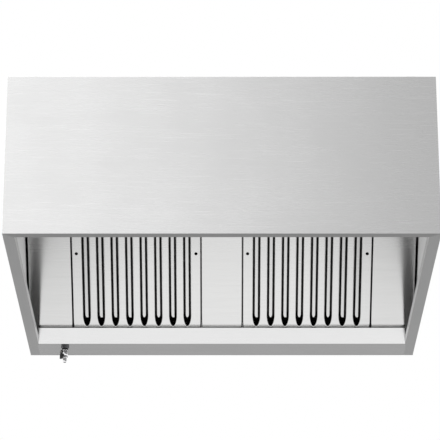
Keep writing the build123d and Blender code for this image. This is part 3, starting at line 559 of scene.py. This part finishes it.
def threaded(bm, radius, low, high, pitch, depth, place=None, steps=24):
    """Threaded shank between two heights, with a chamfered end at its low side."""
    rows_per_turn, end_chamfer = 6, 0.3 * MM
    count = max(2, int((high - low) / pitch * rows_per_turn))
    rings = []
    for row in range(count + 1):
        height = low + (high - low) * row / count
        end_limit = radius - depth - end_chamfer + (height - low)
        points = []
        for i in range(steps):
            angle = 2 * pi * i / steps
            phase = ((height / pitch) - i / steps) % 1.0
            local = min(radius - depth * abs(2 * phase - 1), end_limit)
            points.append(Vector((local * cos(angle), local * sin(angle), height)))
        rings.append(points)
    if place is not None:
        rings = [[place @ point for point in ring] for ring in rings]
    rows = skin(bm, rings)
    bm.faces.new(list(reversed(rows[0])))
    bm.faces.new(rows[-1])


def rivet(bm, place, radius, height):
    """Domed rivet head with the small pit of its mandrel, on the local XY plane."""
    steps, edge_share = 7, 0.12
    profile = [(radius * 0.96, 0.0), (radius, height * edge_share)]
    for step in range(1, steps):
        angle = pi / 2 * step / steps
        profile.append((radius * cos(angle), height * (edge_share + (1 - edge_share) * sin(angle))))
    profile.append((radius * 0.2, height))
    profile.append((radius * 0.15, height * 0.72))
    turned(bm, profile, 24, place)


def bead(bm, start, end, out, width, height, ripple):
    """Weld bead along a line, its ripples overlapping and its ends tapered."""
    arc_steps, steps_per_ripple, ripple_depth = 8, 6, 0.14
    start, end, out = Vector(start), Vector(end), Vector(out).normalized()
    run = end - start
    side = run.normalized().cross(out)
    count = max(6, int(run.length / ripple) * steps_per_ripple)
    rings = []
    for step in range(count + 1):
        share = step / count
        taper = min(1.0, share * run.length / width, (1 - share) * run.length / width)
        taper = sqrt(max(0.02, taper * (2 - taper)))
        wave = 1 - ripple_depth + ripple_depth * abs(sin(pi * share * run.length / ripple))
        across, up = side * (width * taper * wave), out * (height * taper * wave)
        middle = start + run * share
        angles = [pi * k / arc_steps for k in range(arc_steps + 1)]
        rings.append([middle + across * cos(angle) + up * sin(angle) for angle in angles])
    skin(bm, rings, closed=False)


def box_mesh(bm, low, high, place, bevel, segments):
    """Bevelled block between two corners."""
    low, high = Vector(low), Vector(high)
    matrix = Matrix.Translation((low + high) / 2) @ Matrix.Diagonal((*(high - low), 1))
    made = bmesh.ops.create_cube(bm, size=1.0, matrix=matrix)
    edges = list({edge for vert in made["verts"] for edge in vert.link_edges})
    result = bmesh.ops.bevel(bm, geom=edges, offset=bevel, segments=segments, affect="EDGES", profile=0.5)
    verts = list({vert for face in result["faces"] for vert in face.verts})
    bmesh.ops.transform(bm, matrix=place, verts=verts)


# Surroundings: white to the camera and in reflections, plain soft light from all round

def make_world():
    world = bpy.data.worlds.new("studio")
    scene.world = world
    world.use_nodes = True
    tree = world.node_tree
    tree.nodes.clear()
    direction = tree.nodes.new("ShaderNodeTexCoord").outputs["Generated"]
    up = ease(tree, axis_of(tree, direction, "Z"), HORIZON_LOW, HORIZON_HIGH)
    level = blend(tree, up, GROUND, SKY)
    path = tree.nodes.new("ShaderNodeLightPath")
    seen = number(tree, "MAXIMUM", path.outputs["Is Camera Ray"], path.outputs["Is Glossy Ray"])
    seen = number(tree, "MAXIMUM", seen, path.outputs["Is Transmission Ray"])
    level = blend(tree, seen, level, 1.0)
    emit = tree.nodes.new("ShaderNodeBackground")
    tree.links.new(level, emit.inputs["Color"])
    out = tree.nodes.new("ShaderNodeOutputWorld")
    tree.links.new(emit.outputs[0], out.inputs["Surface"])


def make_lamps():
    for name, place, target, size, roll, watts in LAMPS:
        data = bpy.data.lights.new(name, "AREA")
        data.shape = "SQUARE"
        data.size = size
        data.energy = watts
        lamp = bpy.data.objects.new(name, data)
        scene.collection.objects.link(lamp)
        lamp.location = place
        aim = Vector(target) - Vector(place)
        turn = aim.to_track_quat("-Z", "Y") @ Quaternion((0, 0, 1), radians(roll))
        lamp.rotation_euler = turn.to_euler()
        lamp.visible_camera = False


def make_camera():
    data = bpy.data.cameras.new("camera")
    data.sensor_width = SENSOR_WIDTH
    data.lens = CAMERA_LENS
    data.clip_end = CLIP_END
    camera = bpy.data.objects.new("camera", data)
    scene.collection.objects.link(camera)
    camera.location = CAMERA_PLACE
    camera.rotation_euler = (radians(90 + CAMERA_PITCH), 0, radians(CAMERA_YAW))
    scene.camera = camera


def make_floor():
    """Pale floor, seen from above only, so that it doesn't hide the hood from below."""
    bm = bmesh.new()
    bmesh.ops.create_grid(bm, x_segments=8, y_segments=8, size=FLOOR_SIZE / 2)
    mesh = bpy.data.meshes.new("floor")
    bm.to_mesh(mesh)
    bm.free()
    floor = bpy.data.objects.new("floor", mesh)
    scene.collection.objects.link(floor)
    floor.location.z = FLOOR_LEVEL
    floor.visible_glossy = False
    floor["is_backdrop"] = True
    material, tree, shader = new_material("pale_floor")
    cloud = noise(tree, object_coords(tree), (2, 2, 2), 3)
    tree.links.new(mix_colour(tree, cloud, *FLOOR_TONES), shader.inputs["Base Color"])
    shader.inputs["Roughness"].default_value = 0.8
    geometry = tree.nodes.new("ShaderNodeNewGeometry")
    clear = tree.nodes.new("ShaderNodeBsdfTransparent")
    choose = tree.nodes.new("ShaderNodeMixShader")
    tree.links.new(geometry.outputs["Backfacing"], choose.inputs[0])
    tree.links.new(shader.outputs[0], choose.inputs[1])
    tree.links.new(clear.outputs[0], choose.inputs[2])
    tree.links.new(choose.outputs[0], tree.nodes["Material Output"].inputs["Surface"])
    mesh.materials.append(material)


make_camera()
make_world()
make_lamps()
make_floor()

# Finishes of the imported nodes

casing_x = brushed("casing_across", STEEL, 0.36, "x", 1.0)
# Painted shade on the undersides at the rim of this and the next two sheets; the side panels' inner faces
# get painted light
casing_y = brushed("casing_along", STEEL, 0.36, "y", 1.0, rim_shade_tone=0.48, inner_face_painted_tone=1.65)
front_steel = brushed("front_steel", STEEL, 0.28, "x", 1.0, rim_shade_tone=0.45)
# Painted light: the trough's lighter tone
trough_painted_light_steel = brushed("trough_painted_light_steel", TROUGH_PAINTED_LIGHT_TONE, 0.20, "x", 1.0, lip=0.3, rim_shade_tone=0.36)
# Painted shade on the back panel's inner face
back_steel = brushed("back_steel", STEEL, 0.36, "x", 1.0, inner_face_painted_tone=0.5)
# Blanks and filters: painted shade behind their faces and in the top corners of their slopes
blank_steel = brushed(
    "blanking_steel", FILTER_STEEL, 0.35, "x", 0.85, painted_shade_depth=0.0018, painted_shade_tone=0.03, foot=0.3, corner=0.38
)
filter_face = brushed(
    "filter_face", FILTER_STEEL, 0.35, "x", 1.0, painted_shade_depth=0.0018, painted_shade_tone=0.07, foot=0.3, corner=0.34
)
filter_crown = brushed(
    "filter_crown", FILTER_STEEL, 0.34, "x", 1.0, painted_shade_depth=0.0052, painted_shade_tone=0.07, foot=0.6, corner=0.55
)
# Painted shade: the filters' frames, inside the filters, in a near-black tone
filter_frame_painted_shade = brushed("filter_frame_painted_shade", (0.02, 0.02, 0.02), 0.6, "slope", 0.4)
galvanised_steel = galvanised("galvanised_steel", GALVANISED)
fastener_steel = plain_metal("fastener_steel", FASTENER, 0.32, edge_tone=(0.85, 0.85, 0.86))
dark_zinc = plain_metal("dark_zinc", DARK_ZINC, 0.38, 0.12, edge_tone=(0.55, 0.55, 0.56))
chrome = plain_metal("chrome", CHROME, 0.10, 0.04, bump=0.03)
brass = plain_metal("plated_brass", PLATED_BRASS, 0.28, 0.08, edge_tone=(0.70, 0.62, 0.46))
weld_steel = plain_metal("weld_steel", (0.58, 0.57, 0.56), 0.34, 0.14, 700.0, bump=0.2)
seat_plastic = plain_metal("seat_plastic", (0.88, 0.88, 0.86), 0.5, 0.03, bump=0.05, metallic=0.0)
lever_coat = coated("lever_coat", (0.010, 0.010, 0.010), 0.48, 0.0, 0.15, 0.5)
grip_plastic = coated("grip_plastic", (0.005, 0.005, 0.005), 0.42, 0.0, 0.06, 0.1)

for node_name in nodes:
    paint(casing_x, node_name)
paint(casing_y, "left_side_panel", "right_side_panel")
paint(front_steel, "front_panel")
paint(trough_painted_light_steel, "grease_trough")
paint(back_steel, "back_panel")
paint(blank_steel, "left_blanking_panel", "centre_blanking_panel", "right_blanking_panel")
paint(galvanised_steel, "left_hanger_rail", "right_hanger_rail", "front_stiffener", "middle_stiffener")
for side in ("left", "right"):
    paint(filter_face, f"{side}_filter_front_plate")
    paint(filter_crown, f"{side}_filter_rear_baffle")
    paint(filter_frame_painted_shade, f"{side}_filter_frame")
paint(brass, "drain_bush", "valve_stem")
paint(chrome, "valve_body", "valve_end_cap", "valve_gland_nut", "valve_ball")
paint(dark_zinc, "drain_locknut", "valve_lever_nut")
paint(seat_plastic, "valve_seats")
paint(lever_coat, "valve_lever")
paint(grip_plastic, "valve_lever_grip")


# Front plates of the filters, with rolled slot lips and rounded rims

RIM_CORNER = 2.4 * MM
RIM_CORNER_LEAST = 0.3 * MM
HOLE_DEPTH = 1.9 * FILTER_SHEET
BEND_STEPS = 6


def slot_loop(middle, growth, steps=20):
    """Points round one long slot, grown outward, in the filter's own plane."""
    across = SLOT_WIDTH / 2 + growth
    reach = SLOT_END_REACH + growth
    straight = FILTER_LENGTH / 2 - SLOT_END_MARGIN - SLOT_END_REACH
    points = []
    for end in (1, -1):
        for step in range(steps + 1):
            angle = pi * step / steps
            points.append((middle + end * across * cos(angle), end * (straight + reach * sin(angle))))
    return points


def rim_loop(inset, steps=4):
    """Points round the filter's outline, moved inward."""
    half_x, half_y = FILTER_WIDTH / 2 - inset, FILTER_LENGTH / 2 - inset
    radius = max(RIM_CORNER_LEAST, RIM_CORNER - inset)
    points = []
    for corner, (sign_x, sign_y) in enumerate(((1, 1), (-1, 1), (-1, -1), (1, -1))):
        for step in range(steps + 1):
            angle = pi / 2 * (corner + step / steps)
            points.append((
                sign_x * (half_x - radius) + radius * cos(angle),
                sign_y * (half_y - radius) + radius * sin(angle),
            ))
    return points


def hole_loop(middle, radius, steps=24):
    return [
        (middle[0] + radius * cos(2 * pi * i / steps), middle[1] + radius * sin(2 * pi * i / steps))
        for i in range(steps)
    ]


def rolled(loop, roll, depth):
    """Rings from the flat face over a quarter-round bend down to a depth."""
    rings = [[(x, y, 0.0) for x, y in loop(roll + SUPPORT)], [(x, y, 0.0) for x, y in loop(roll)]]
    for step in range(1, BEND_STEPS + 1):
        angle = pi / 2 * step / BEND_STEPS
        ring = loop(roll * (1 - sin(angle)))
        drop = roll * (1 - cos(angle))
        rings.append([(x, y, -drop) for x, y in ring])
    rings.append([(x, y, -depth) for x, y in loop(0.0)])
    return rings


def filter_plate(side, middle_x):
    bm = bmesh.new()
    families = [rolled(rim_loop, FILTER_BEND, FILTER_RIM_DEPTH)]
    for step in range(SLOT_COUNT):
        middle = (step - (SLOT_COUNT - 1) / 2) * SLOT_PITCH
        families.append(rolled(lambda growth, m=middle: slot_loop(m, growth), SLOT_ROLL, SLOT_LIP_DEPTH))
    for sign in (-1, 1):
        middle = (sign * HOOK_HOLE_X, HOOK_HOLE_RISE)
        families.append(
            rolled(lambda growth, m=middle: hole_loop(m, HOOK_HOLE_RADIUS + growth), HOLE_ROLL, HOLE_DEPTH)
        )
    borders = [skin(bm, rings)[0] for rings in families]
    flat = [vert for border in borders for vert in border]
    for triangle in tessellate_polygon([[vert.co for vert in border] for border in borders]):
        bm.faces.new([flat[index] for index in triangle])
    bmesh.ops.recalc_face_normals(bm, faces=bm.faces)
    bm.faces.ensure_lookup_table()
    if bm.faces[-1].normal.z < 0:
        bmesh.ops.reverse_faces(bm, faces=bm.faces)
    place = FACE_FRAME @ Matrix.Translation((middle_x, FILTER_LENGTH / 2, 0))
    piece = finish_piece(
        bm, f"{side}_filter_face_sheet", f"{side}_filter", filter_face,
        (f"{side}_filter_front_plate",), sharp=50.0, place=place,
    )
    shell = piece.modifiers.new("sheet", "SOLIDIFY")
    shell.thickness = FILTER_SHEET
    shell.offset = -1.0


filter_plate("left", -FILTER_OFFSET)
filter_plate("right", FILTER_OFFSET)


# Rivets

SHEET = 1.2 * MM
ROOF = -22.0 * MM
COLLAR_LENGTH, COLLAR_WIDTH = 304.8 * MM, 254.0 * MM
COLLAR_FOOT = 15.0 * MM
COLLAR_RIVET_COUNT = 4
COLLAR_RIVET_MARGIN = 9.9 * MM
COLLAR_RIVET_RADIUS, COLLAR_RIVET_HEIGHT = 4.8 * MM, 1.6 * MM

BLANK_X = (-536.35 * MM, 0.0, 536.35 * MM)
BLANK_RIVET_RISE = 490.0 * MM
BLANK_RIVET_SPREAD = 35.0 * MM
BLANK_RIVET_FACE, BLANK_RIVET_GRIP = 2.7 * MM, 3.9 * MM
BLANK_RIVET_RADIUS, BLANK_RIVET_HEIGHT = 4.6 * MM, 1.6 * MM

FILTER_RIVET_X = 189.0 * MM
FILTER_RIVET_RISES = (90.0 * MM, 249.0 * MM, 408.0 * MM)
FILTER_RIVET_FACE, FILTER_RIVET_GRIP = -45.4 * MM, 1.6 * MM
FILTER_RIVET_RADIUS, FILTER_RIVET_HEIGHT = 3.6 * MM, 1.4 * MM


def down(place):
    """The same place, facing the other way."""
    return place @ Matrix.Rotation(pi, 4, "X")


def rivet_heads(name, body, node, places, grip, radius, height):
    """Domed heads on both faces of a joint whose sheets are as thick as the grip."""
    bm = bmesh.new()
    for place in places:
        rivet(bm, place, radius, height)
        rivet(bm, down(place @ Matrix.Translation((0, 0, -grip))), radius, height)
    bmesh.ops.recalc_face_normals(bm, faces=bm.faces)
    finish_piece(bm, name, body, fastener_steel, (node,), sharp=55.0)


def collar_rivet_places():
    places = []
    for step in range(COLLAR_RIVET_COUNT):
        share = step / (COLLAR_RIVET_COUNT - 1) - 0.5
        along_x = share * (COLLAR_LENGTH - 2 * COLLAR_RIVET_MARGIN)
        along_y = share * (COLLAR_WIDTH - 2 * COLLAR_RIVET_MARGIN)
        edge_x = COLLAR_LENGTH / 2 + COLLAR_FOOT + SHEET
        edge_y = COLLAR_WIDTH / 2 + COLLAR_FOOT + SHEET
        for sign in (-1, 1):
            places.append(Matrix.Translation((along_x, collar_y + sign * edge_y, ROOF + SHEET)))
            places.append(Matrix.Translation((sign * edge_x, collar_y + along_y, ROOF + SHEET)))
    return places


collar_low, collar_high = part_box("exhaust_collar")
collar_y = (collar_low.y + collar_high.y) / 2
rivet_heads(
    "collar_rivet_heads", "hood", "collar_rivets", collar_rivet_places(), 2 * SHEET,
    COLLAR_RIVET_RADIUS, COLLAR_RIVET_HEIGHT,
)
blank_places = [
    FACE_FRAME @ Matrix.Translation((x + side * BLANK_RIVET_SPREAD, BLANK_RIVET_RISE, BLANK_RIVET_FACE))
    for x in BLANK_X for side in (-1, 1)
]
rivet_heads(
    "blanking_rivet_heads", "hood", "blanking_panel_rivets", blank_places, BLANK_RIVET_GRIP,
    BLANK_RIVET_RADIUS, BLANK_RIVET_HEIGHT,
)
for side, middle in (("left", -FILTER_OFFSET), ("right", FILTER_OFFSET)):
    filter_places = [
        FACE_FRAME @ Matrix.Translation((middle + sign * FILTER_RIVET_X, rise, FILTER_RIVET_FACE))
        for rise in FILTER_RIVET_RISES for sign in (-1, 1)
    ]
    rivet_heads(
        f"{side}_filter_rivet_heads", f"{side}_filter", f"{side}_filter_rivets", filter_places,
        FILTER_RIVET_GRIP, FILTER_RIVET_RADIUS, FILTER_RIVET_HEIGHT,
    )


# Bolts and nuts of the hanger rails, heights from the roof

BOLT_X = 521.6 * MM
BOLT_PITCH = 290.0 * MM
BOLTS_PER_RAIL = 4
BOLT_RADIUS = 4.0 * MM
BOLT_FLATS = 13.0 * MM
BOLT_END = -9.7 * MM
BOLT_THREAD_PITCH, BOLT_THREAD_DEPTH = 1.25 * MM, 0.6 * MM
NUT_LOW = -7.7 * MM
RAIL_SHEET = 3.0 * MM
HEAD_LOW, HEAD_HIGH = RAIL_SHEET + 0.4 * MM, RAIL_SHEET + 5.3 * MM
COLLAR_OF_HEAD = [
    (6.0 * MM, RAIL_SHEET), (6.3 * MM, RAIL_SHEET + 0.1 * MM), (6.3 * MM, RAIL_SHEET + 0.5 * MM),
]
HEAD_TURN, HEAD_TURN_START = 17, 5
NUT_TURN, NUT_TURN_START = 23, 11


def bolt_places(turn, start):
    """Places on the roof, each turned a little further, as tightened by hand."""
    places = []
    for side in (-1, 1):
        for step in range(BOLTS_PER_RAIL):
            spot = Matrix.Translation((side * BOLT_X, (step - (BOLTS_PER_RAIL - 1) / 2) * BOLT_PITCH, ROOF))
            places.append(spot @ Matrix.Rotation(radians(turn * len(places) + start), 4, "Z"))
    return places


bm = bmesh.new()
for place in bolt_places(HEAD_TURN, HEAD_TURN_START):
    turned(bm, COLLAR_OF_HEAD, 32, place)
    hexagon(bm, BOLT_FLATS, HEAD_LOW, HEAD_HIGH, False, True, 0.0, place)
    threaded(bm, BOLT_RADIUS, BOLT_END, RAIL_SHEET, BOLT_THREAD_PITCH, BOLT_THREAD_DEPTH, place)
bmesh.ops.recalc_face_normals(bm, faces=bm.faces)
finish_piece(bm, "hanger_bolt_set", "hood", fastener_steel, ("hanger_bolts",), sharp=30.0)
bm = bmesh.new()
for place in bolt_places(NUT_TURN, NUT_TURN_START):
    hexagon(bm, BOLT_FLATS, NUT_LOW, -SHEET, True, True, BOLT_RADIUS, place)
bmesh.ops.recalc_face_normals(bm, faces=bm.faces)
finish_piece(bm, "hanger_nut_set", "hood", fastener_steel, ("hanger_nuts",), sharp=30.0)


# Stitch welds along the roof seams, the stiffeners and the collar's corners

SEAM_X, SEAM_Y = 608.3 * MM, 532.1 * MM
SEAM_REACH = 14 * MM
SEAM_BEAD = (1.1 * MM, 0.7 * MM, 2.6 * MM)
SIDE_SEAM_COUNT, SIDE_SEAM_PITCH = 6, 190 * MM
FRONT_SEAM_COUNT, FRONT_SEAM_PITCH = 7, 180 * MM
STIFFENER_REACH = 15 * MM
STIFFENER_BEAD = (1.9 * MM, 1.3 * MM, 3.0 * MM)
STIFFENER_WELD_COUNT, STIFFENER_WELD_PITCH = 5, 225 * MM
STIFFENER_WELD_RISE = 1.2
CORNER_BEAD = (1.2 * MM, 0.5 * MM, 2.4 * MM)
CORNER_TOP = 78.0 * MM


def spread(count, pitch):
    """Places at an even pitch about zero."""
    return [(step - (count - 1) / 2) * pitch for step in range(count)]


def stitch(bm, middle, reach, out, size):
    """Short bead to both sides of a point. The size is its width, height and ripple."""
    middle, reach = Vector(middle), Vector(reach)
    bead(bm, middle - reach, middle + reach, out, *size)


bm = bmesh.new()
for y in spread(SIDE_SEAM_COUNT, SIDE_SEAM_PITCH):
    for side in (-1, 1):
        stitch(bm, (side * SEAM_X, y, ROOF), (0, SEAM_REACH, 0), (0, 0, 1), SEAM_BEAD)
for x in spread(FRONT_SEAM_COUNT, FRONT_SEAM_PITCH):
    for side in (-1, 1):
        stitch(bm, (x, side * SEAM_Y, ROOF), (SEAM_REACH, 0, 0), (0, 0, 1), SEAM_BEAD)
for node_name in ("front_stiffener", "middle_stiffener"):
    low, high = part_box(node_name)
    for x in spread(STIFFENER_WELD_COUNT, STIFFENER_WELD_PITCH):
        for y, sign in ((low.y, -1), (high.y, 1)):
            stitch(bm, (x, y, ROOF), (STIFFENER_REACH, 0, 0), (0, sign, STIFFENER_WELD_RISE), STIFFENER_BEAD)
for side_x in (-1, 1):
    for side_y in (-1, 1):
        x = side_x * (COLLAR_LENGTH / 2 + SHEET)
        y = collar_y + side_y * (COLLAR_WIDTH / 2 + SHEET)
        bead(bm, (x, y, ROOF + 2 * SHEET), (x, y, CORNER_TOP), (side_x, side_y, 0), *CORNER_BEAD)
finish_piece(bm, "roof_weld_beads", "hood", weld_steel, (), sharp=60.0)


# Drain valve. Profiles and the grip are in millimetres: radius and height, from the rim or along the stem

DRAIN_X, DRAIN_Y = -494.0 * MM, 436.7 * MM
STEM_Z = -527.0 * MM
STEM_TURN = radians(50)
DRAIN = Matrix.Translation((DRAIN_X, DRAIN_Y, RIM))
STEM = Matrix((
    (sin(STEM_TURN), 0.0, -cos(STEM_TURN), DRAIN_X),
    (-cos(STEM_TURN), 0.0, -sin(STEM_TURN), DRAIN_Y),
    (0.0, 1.0, 0.0, STEM_Z),
    (0.0, 0.0, 0.0, 1.0),
))

# Hexagons: flats, low side, high side, bore
LOCKNUT = (22.0 * MM, -10.0 * MM, 0.0, 6.65 * MM)
OUTLET_HEX = (16.0 * MM, -41.0 * MM, -34.0 * MM, 6.3 * MM)
GLAND_NUT = (10.0 * MM, 11.6 * MM, 13.8 * MM, 2.1 * MM)
LEVER_NUT = (7.0 * MM, 16.2 * MM, 18.8 * MM, 2.0 * MM)

BODY_FOOT = [(3.2, -17.5), (3.2, -18.5), (6.35, -18.5), (6.35, -34.0), (8.0, -34.0)]
BODY_NECK = [
    (8.6, -17.5), (8.6, -17.1), (9.0, -16.8), (9.0, -11.2), (8.8, -10.7), (8.4, -10.5), (6.65, -10.5),
    (6.65, -17.5),
]
BULGE_RADIUS, BULGE_MIDDLE = 9.6, -25
BULGE_LOW, BULGE_HEIGHT, BULGE_STEPS = -33.7, 15.8, 12
BULGE_BELOW, BULGE_ABOVE = 0.0148, 0.0107
STEM_BOSS = [
    (2.1, 7.0), (5.6, 7.0), (5.0, 8.2), (4.65, 9.2), (4.6, 11.1), (4.5, 11.4), (4.2, 11.6), (2.1, 11.6),
]
# Black ring of painted shade between the locknut and the body
SHADE_RING_BORE, SHADE_RING_RADIUS, SHADE_RING_ROUND = 9.05, 10.0, 0.7
SHADE_RING_LOW, SHADE_RING_HIGH = -15.4, -10.15
OUTLET_BARBS = [
    (3.2, -45.5), (3.2, -33.0), (6.35, -33.0), (6.35, -40.6), (6.2, -41.0), (6.2, -43.9), (6.8, -44.2),
    (6.9, -44.5), (6.3, -47.1), (6.8, -47.4), (6.9, -47.7), (6.2, -54.9), (6.0, -55.4), (5.7, -55.5),
    (4.8, -55.5), (4.5, -55.2), (4.5, -45.5),
]
STEM_RADIUS, STEM_THREAD_PITCH, STEM_THREAD_DEPTH = 2.0 * MM, 0.7 * MM, 0.25 * MM
STEM_TIP, STEM_THREAD_END = 19.6 * MM, 13.9 * MM
STEM_SHANK = [(2.0, 6.0), (2.0, 14.0)]
STEM_TONGUE = (-1.6 * MM, -1.0 * MM, 4.9 * MM), (1.6 * MM, 1.0 * MM, 6.1 * MM)
STEM_TONGUE_BEVEL = 0.1 * MM

BLADE_LOW, BLADE_HIGH = 14.2 * MM, 16.2 * MM
BLADE_HEAD, BLADE_HALF, BLADE_FOOT = 6.4 * MM, 4.0 * MM, -20.0 * MM
BLADE_FOOT_ROUND, BLADE_BEVEL = 1.2 * MM, 0.4 * MM
BLADE_NECK_ANGLE = 0.675
BLADE_STEPS, BLADE_FOOT_STEPS = 24, 6

GRIP_START, GRIP_LENGTH = -6.5, 15.9
GRIP_HALF_WIDTH, GRIP_HALF_HEIGHT, GRIP_MIDDLE = 6.5, 2.5, 15.2
GRIP_ROUND = 1.8
GRIP_RIDGE_END, GRIP_RIDGE_PITCH, GRIP_RIDGE_DEPTH = 14.1, 2.46, 0.28
GRIP_SIDE_POWER, GRIP_FACE_POWER = 0.45, 0.6
GRIP_SIDE_RIDGE, GRIP_FACE_PULL = 0.6, 0.7
GRIP_STEPS, GRIP_RIDGE_STEPS = 40, 30
GRIP_UPPER_RUNS = [0.0, 0.25, 0.6, 1.1, 1.8]
GRIP_LOWER_RUNS = [14.8, 15.3, 15.65, 15.9]


def scaled(profile):
    return [(radius * MM, height * MM) for radius, height in profile]


def ring_of(bm, profile, place, steps=48):
    """Turned shape with a bore: the profile comes back to its start."""
    rows = turned(bm, scaled(profile + profile[:1]), steps, place)
    bmesh.ops.remove_doubles(bm, verts=rows[0] + rows[-1], dist=1e-8)


def body_profile():
    """Valve body: its foot, the bulge round the ball, and its neck."""
    bulge = []
    for step in range(BULGE_STEPS + 1):
        height = BULGE_LOW + BULGE_HEIGHT * step / BULGE_STEPS
        fall = BULGE_BELOW if height < BULGE_MIDDLE else BULGE_ABOVE
        bulge.append((BULGE_RADIUS - fall * (height - BULGE_MIDDLE) ** 2, height))
    return BODY_FOOT + bulge + BODY_NECK


def shade_ring_profile():
    """Ring of painted shade with a straight bore and rounded outer edges."""
    steps = 8
    middle = (SHADE_RING_LOW + SHADE_RING_HIGH) / 2
    half = (SHADE_RING_HIGH - SHADE_RING_LOW) / 2 - SHADE_RING_ROUND
    points = [(SHADE_RING_BORE, SHADE_RING_LOW), (SHADE_RING_BORE, SHADE_RING_HIGH)]
    for step in range(steps + 1):
        angle = pi / 2 - pi * step / steps
        corner = middle + half * ((step < steps / 2) - (step > steps / 2))
        points.append((SHADE_RING_RADIUS - SHADE_RING_ROUND + SHADE_RING_ROUND * cos(angle), corner + SHADE_RING_ROUND * sin(angle)))
    return points


def hex_of(bm, size, place):
    """Hexagon chamfered at both ends. The size is its flats, low side, high side and bore."""
    flats, low, high, bore = size
    hexagon(bm, flats, low, high, True, True, bore, place)


def hex_nut(name, body, material, node, size, place):
    bm = bmesh.new()
    hex_of(bm, size, place)
    bmesh.ops.recalc_face_normals(bm, faces=bm.faces)
    finish_piece(bm, name, body, material, (node,), sharp=30.0)


hex_nut("drain_hex_locknut", "hood", dark_zinc, "drain_locknut", LOCKNUT, DRAIN)

bm = bmesh.new()
ring_of(bm, body_profile(), DRAIN)
ring_of(bm, STEM_BOSS, STEM, 32)
bmesh.ops.recalc_face_normals(bm, faces=bm.faces)
finish_piece(bm, "valve_turned_body", "hood", chrome, ("valve_body",), sharp=35.0)

# Black ring between the locknut and the body: painted shade for the gap there
bm = bmesh.new()
ring_of(bm, shade_ring_profile(), DRAIN)
bmesh.ops.recalc_face_normals(bm, faces=bm.faces)
finish_piece(bm, "valve_shade_ring", "hood", grip_plastic, (), sharp=35.0)

bm = bmesh.new()
hex_of(bm, OUTLET_HEX, DRAIN)
ring_of(bm, OUTLET_BARBS, DRAIN)
bmesh.ops.recalc_face_normals(bm, faces=bm.faces)
finish_piece(bm, "valve_barbed_outlet", "hood", chrome, ("valve_end_cap",), sharp=35.0)

hex_nut("valve_gland_hex", "hood", chrome, "valve_gland_nut", GLAND_NUT, STEM)
hex_nut(
    "lever_hex_nut", "drain_valve_lever", dark_zinc, "valve_lever_nut", LEVER_NUT, STEM
)

# Stem: thread at its tip, plain shank, and a tongue in the ball's slot
bm = bmesh.new()
threaded(bm, STEM_RADIUS, -STEM_TIP, -STEM_THREAD_END, STEM_THREAD_PITCH, STEM_THREAD_DEPTH, down(STEM))
turned(bm, scaled(STEM_SHANK), 24, STEM)
box_mesh(bm, *STEM_TONGUE, STEM, STEM_TONGUE_BEVEL, 1)
bmesh.ops.recalc_face_normals(bm, faces=bm.faces)
finish_piece(
    bm, "valve_threaded_stem", "drain_valve_lever", brass, ("valve_stem",), sharp=30.0
)


def lever_outline():
    """Round head above a straight blade with rounded corners at its foot."""
    start = -pi / 2 + BLADE_NECK_ANGLE
    turn = 2 * pi - 2 * BLADE_NECK_ANGLE
    points = []
    for step in range(BLADE_STEPS + 1):
        angle = start + turn * step / BLADE_STEPS
        points.append((BLADE_HEAD * cos(angle), BLADE_HEAD * sin(angle)))
    radius = BLADE_FOOT_ROUND
    for side, first in ((-1, pi), (1, -pi / 2)):
        x, y = side * (BLADE_HALF - radius), BLADE_FOOT + radius
        for step in range(BLADE_FOOT_STEPS + 1):
            angle = first + pi / 2 * step / BLADE_FOOT_STEPS
            points.append((x + radius * cos(angle), y + radius * sin(angle)))
    return points


bm = bmesh.new()
outline = lever_outline()
bottom = [bm.verts.new((x, y, BLADE_LOW)) for x, y in outline]
top = [bm.verts.new((x, y, BLADE_HIGH)) for x, y in outline]
bm.faces.new(list(reversed(bottom)))
bm.faces.new(top)
for i in range(len(outline)):
    j = (i + 1) % len(outline)
    bm.faces.new((bottom[i], bottom[j], top[j], top[i]))
rims = [edge for edge in bm.edges if abs(edge.verts[0].co.z - edge.verts[1].co.z) < 1e-6]
bmesh.ops.bevel(bm, geom=rims, offset=BLADE_BEVEL, segments=3, affect="EDGES", profile=0.5)
finish_piece(
    bm, "valve_lever_blade", "drain_valve_lever", lever_coat, ("valve_lever",), sharp=40.0,
    place=STEM,
)


def signed_power(value, power):
    return (1 if value > 0 else -1) * abs(value) ** power


def grip_ring(run):
    """Section of the dipped grip at a run from its upper end: rounded ends, shallow finger ridges."""
    edge = min(run, GRIP_LENGTH - run)
    pull = 0.0
    if edge < GRIP_ROUND:
        pull = GRIP_ROUND - sqrt(GRIP_ROUND ** 2 - (GRIP_ROUND - edge) ** 2)
    ridge = 0.0
    if GRIP_ROUND < run < GRIP_RIDGE_END:
        ridge = GRIP_RIDGE_DEPTH * max(0.0, sin(2 * pi * (run - GRIP_ROUND) / GRIP_RIDGE_PITCH))
    half_x = GRIP_HALF_WIDTH - pull - ridge * GRIP_SIDE_RIDGE
    half_z = GRIP_HALF_HEIGHT - pull * GRIP_FACE_PULL - ridge
    ring = []
    for i in range(GRIP_STEPS):
        angle = 2 * pi * i / GRIP_STEPS
        x = half_x * signed_power(cos(angle), GRIP_SIDE_POWER)
        z = half_z * signed_power(sin(angle), GRIP_FACE_POWER)
        ring.append(Vector((x, GRIP_START - run, GRIP_MIDDLE + z)) * MM)
    return ring


ridge_step = (GRIP_RIDGE_END - GRIP_ROUND) / GRIP_RIDGE_STEPS
ridge_runs = [GRIP_ROUND + ridge_step * step for step in range(1, GRIP_RIDGE_STEPS + 1)]
bm = bmesh.new()
rows = skin(bm, [grip_ring(run) for run in GRIP_UPPER_RUNS + ridge_runs + GRIP_LOWER_RUNS])
bm.faces.new(list(reversed(rows[0])))
bm.faces.new(rows[-1])
bmesh.ops.recalc_face_normals(bm, faces=bm.faces)
finish_piece(
    bm, "valve_dipped_grip", "drain_valve_lever", grip_plastic, ("valve_lever_grip",),
    sharp=50.0, place=STEM,
)

low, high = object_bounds()
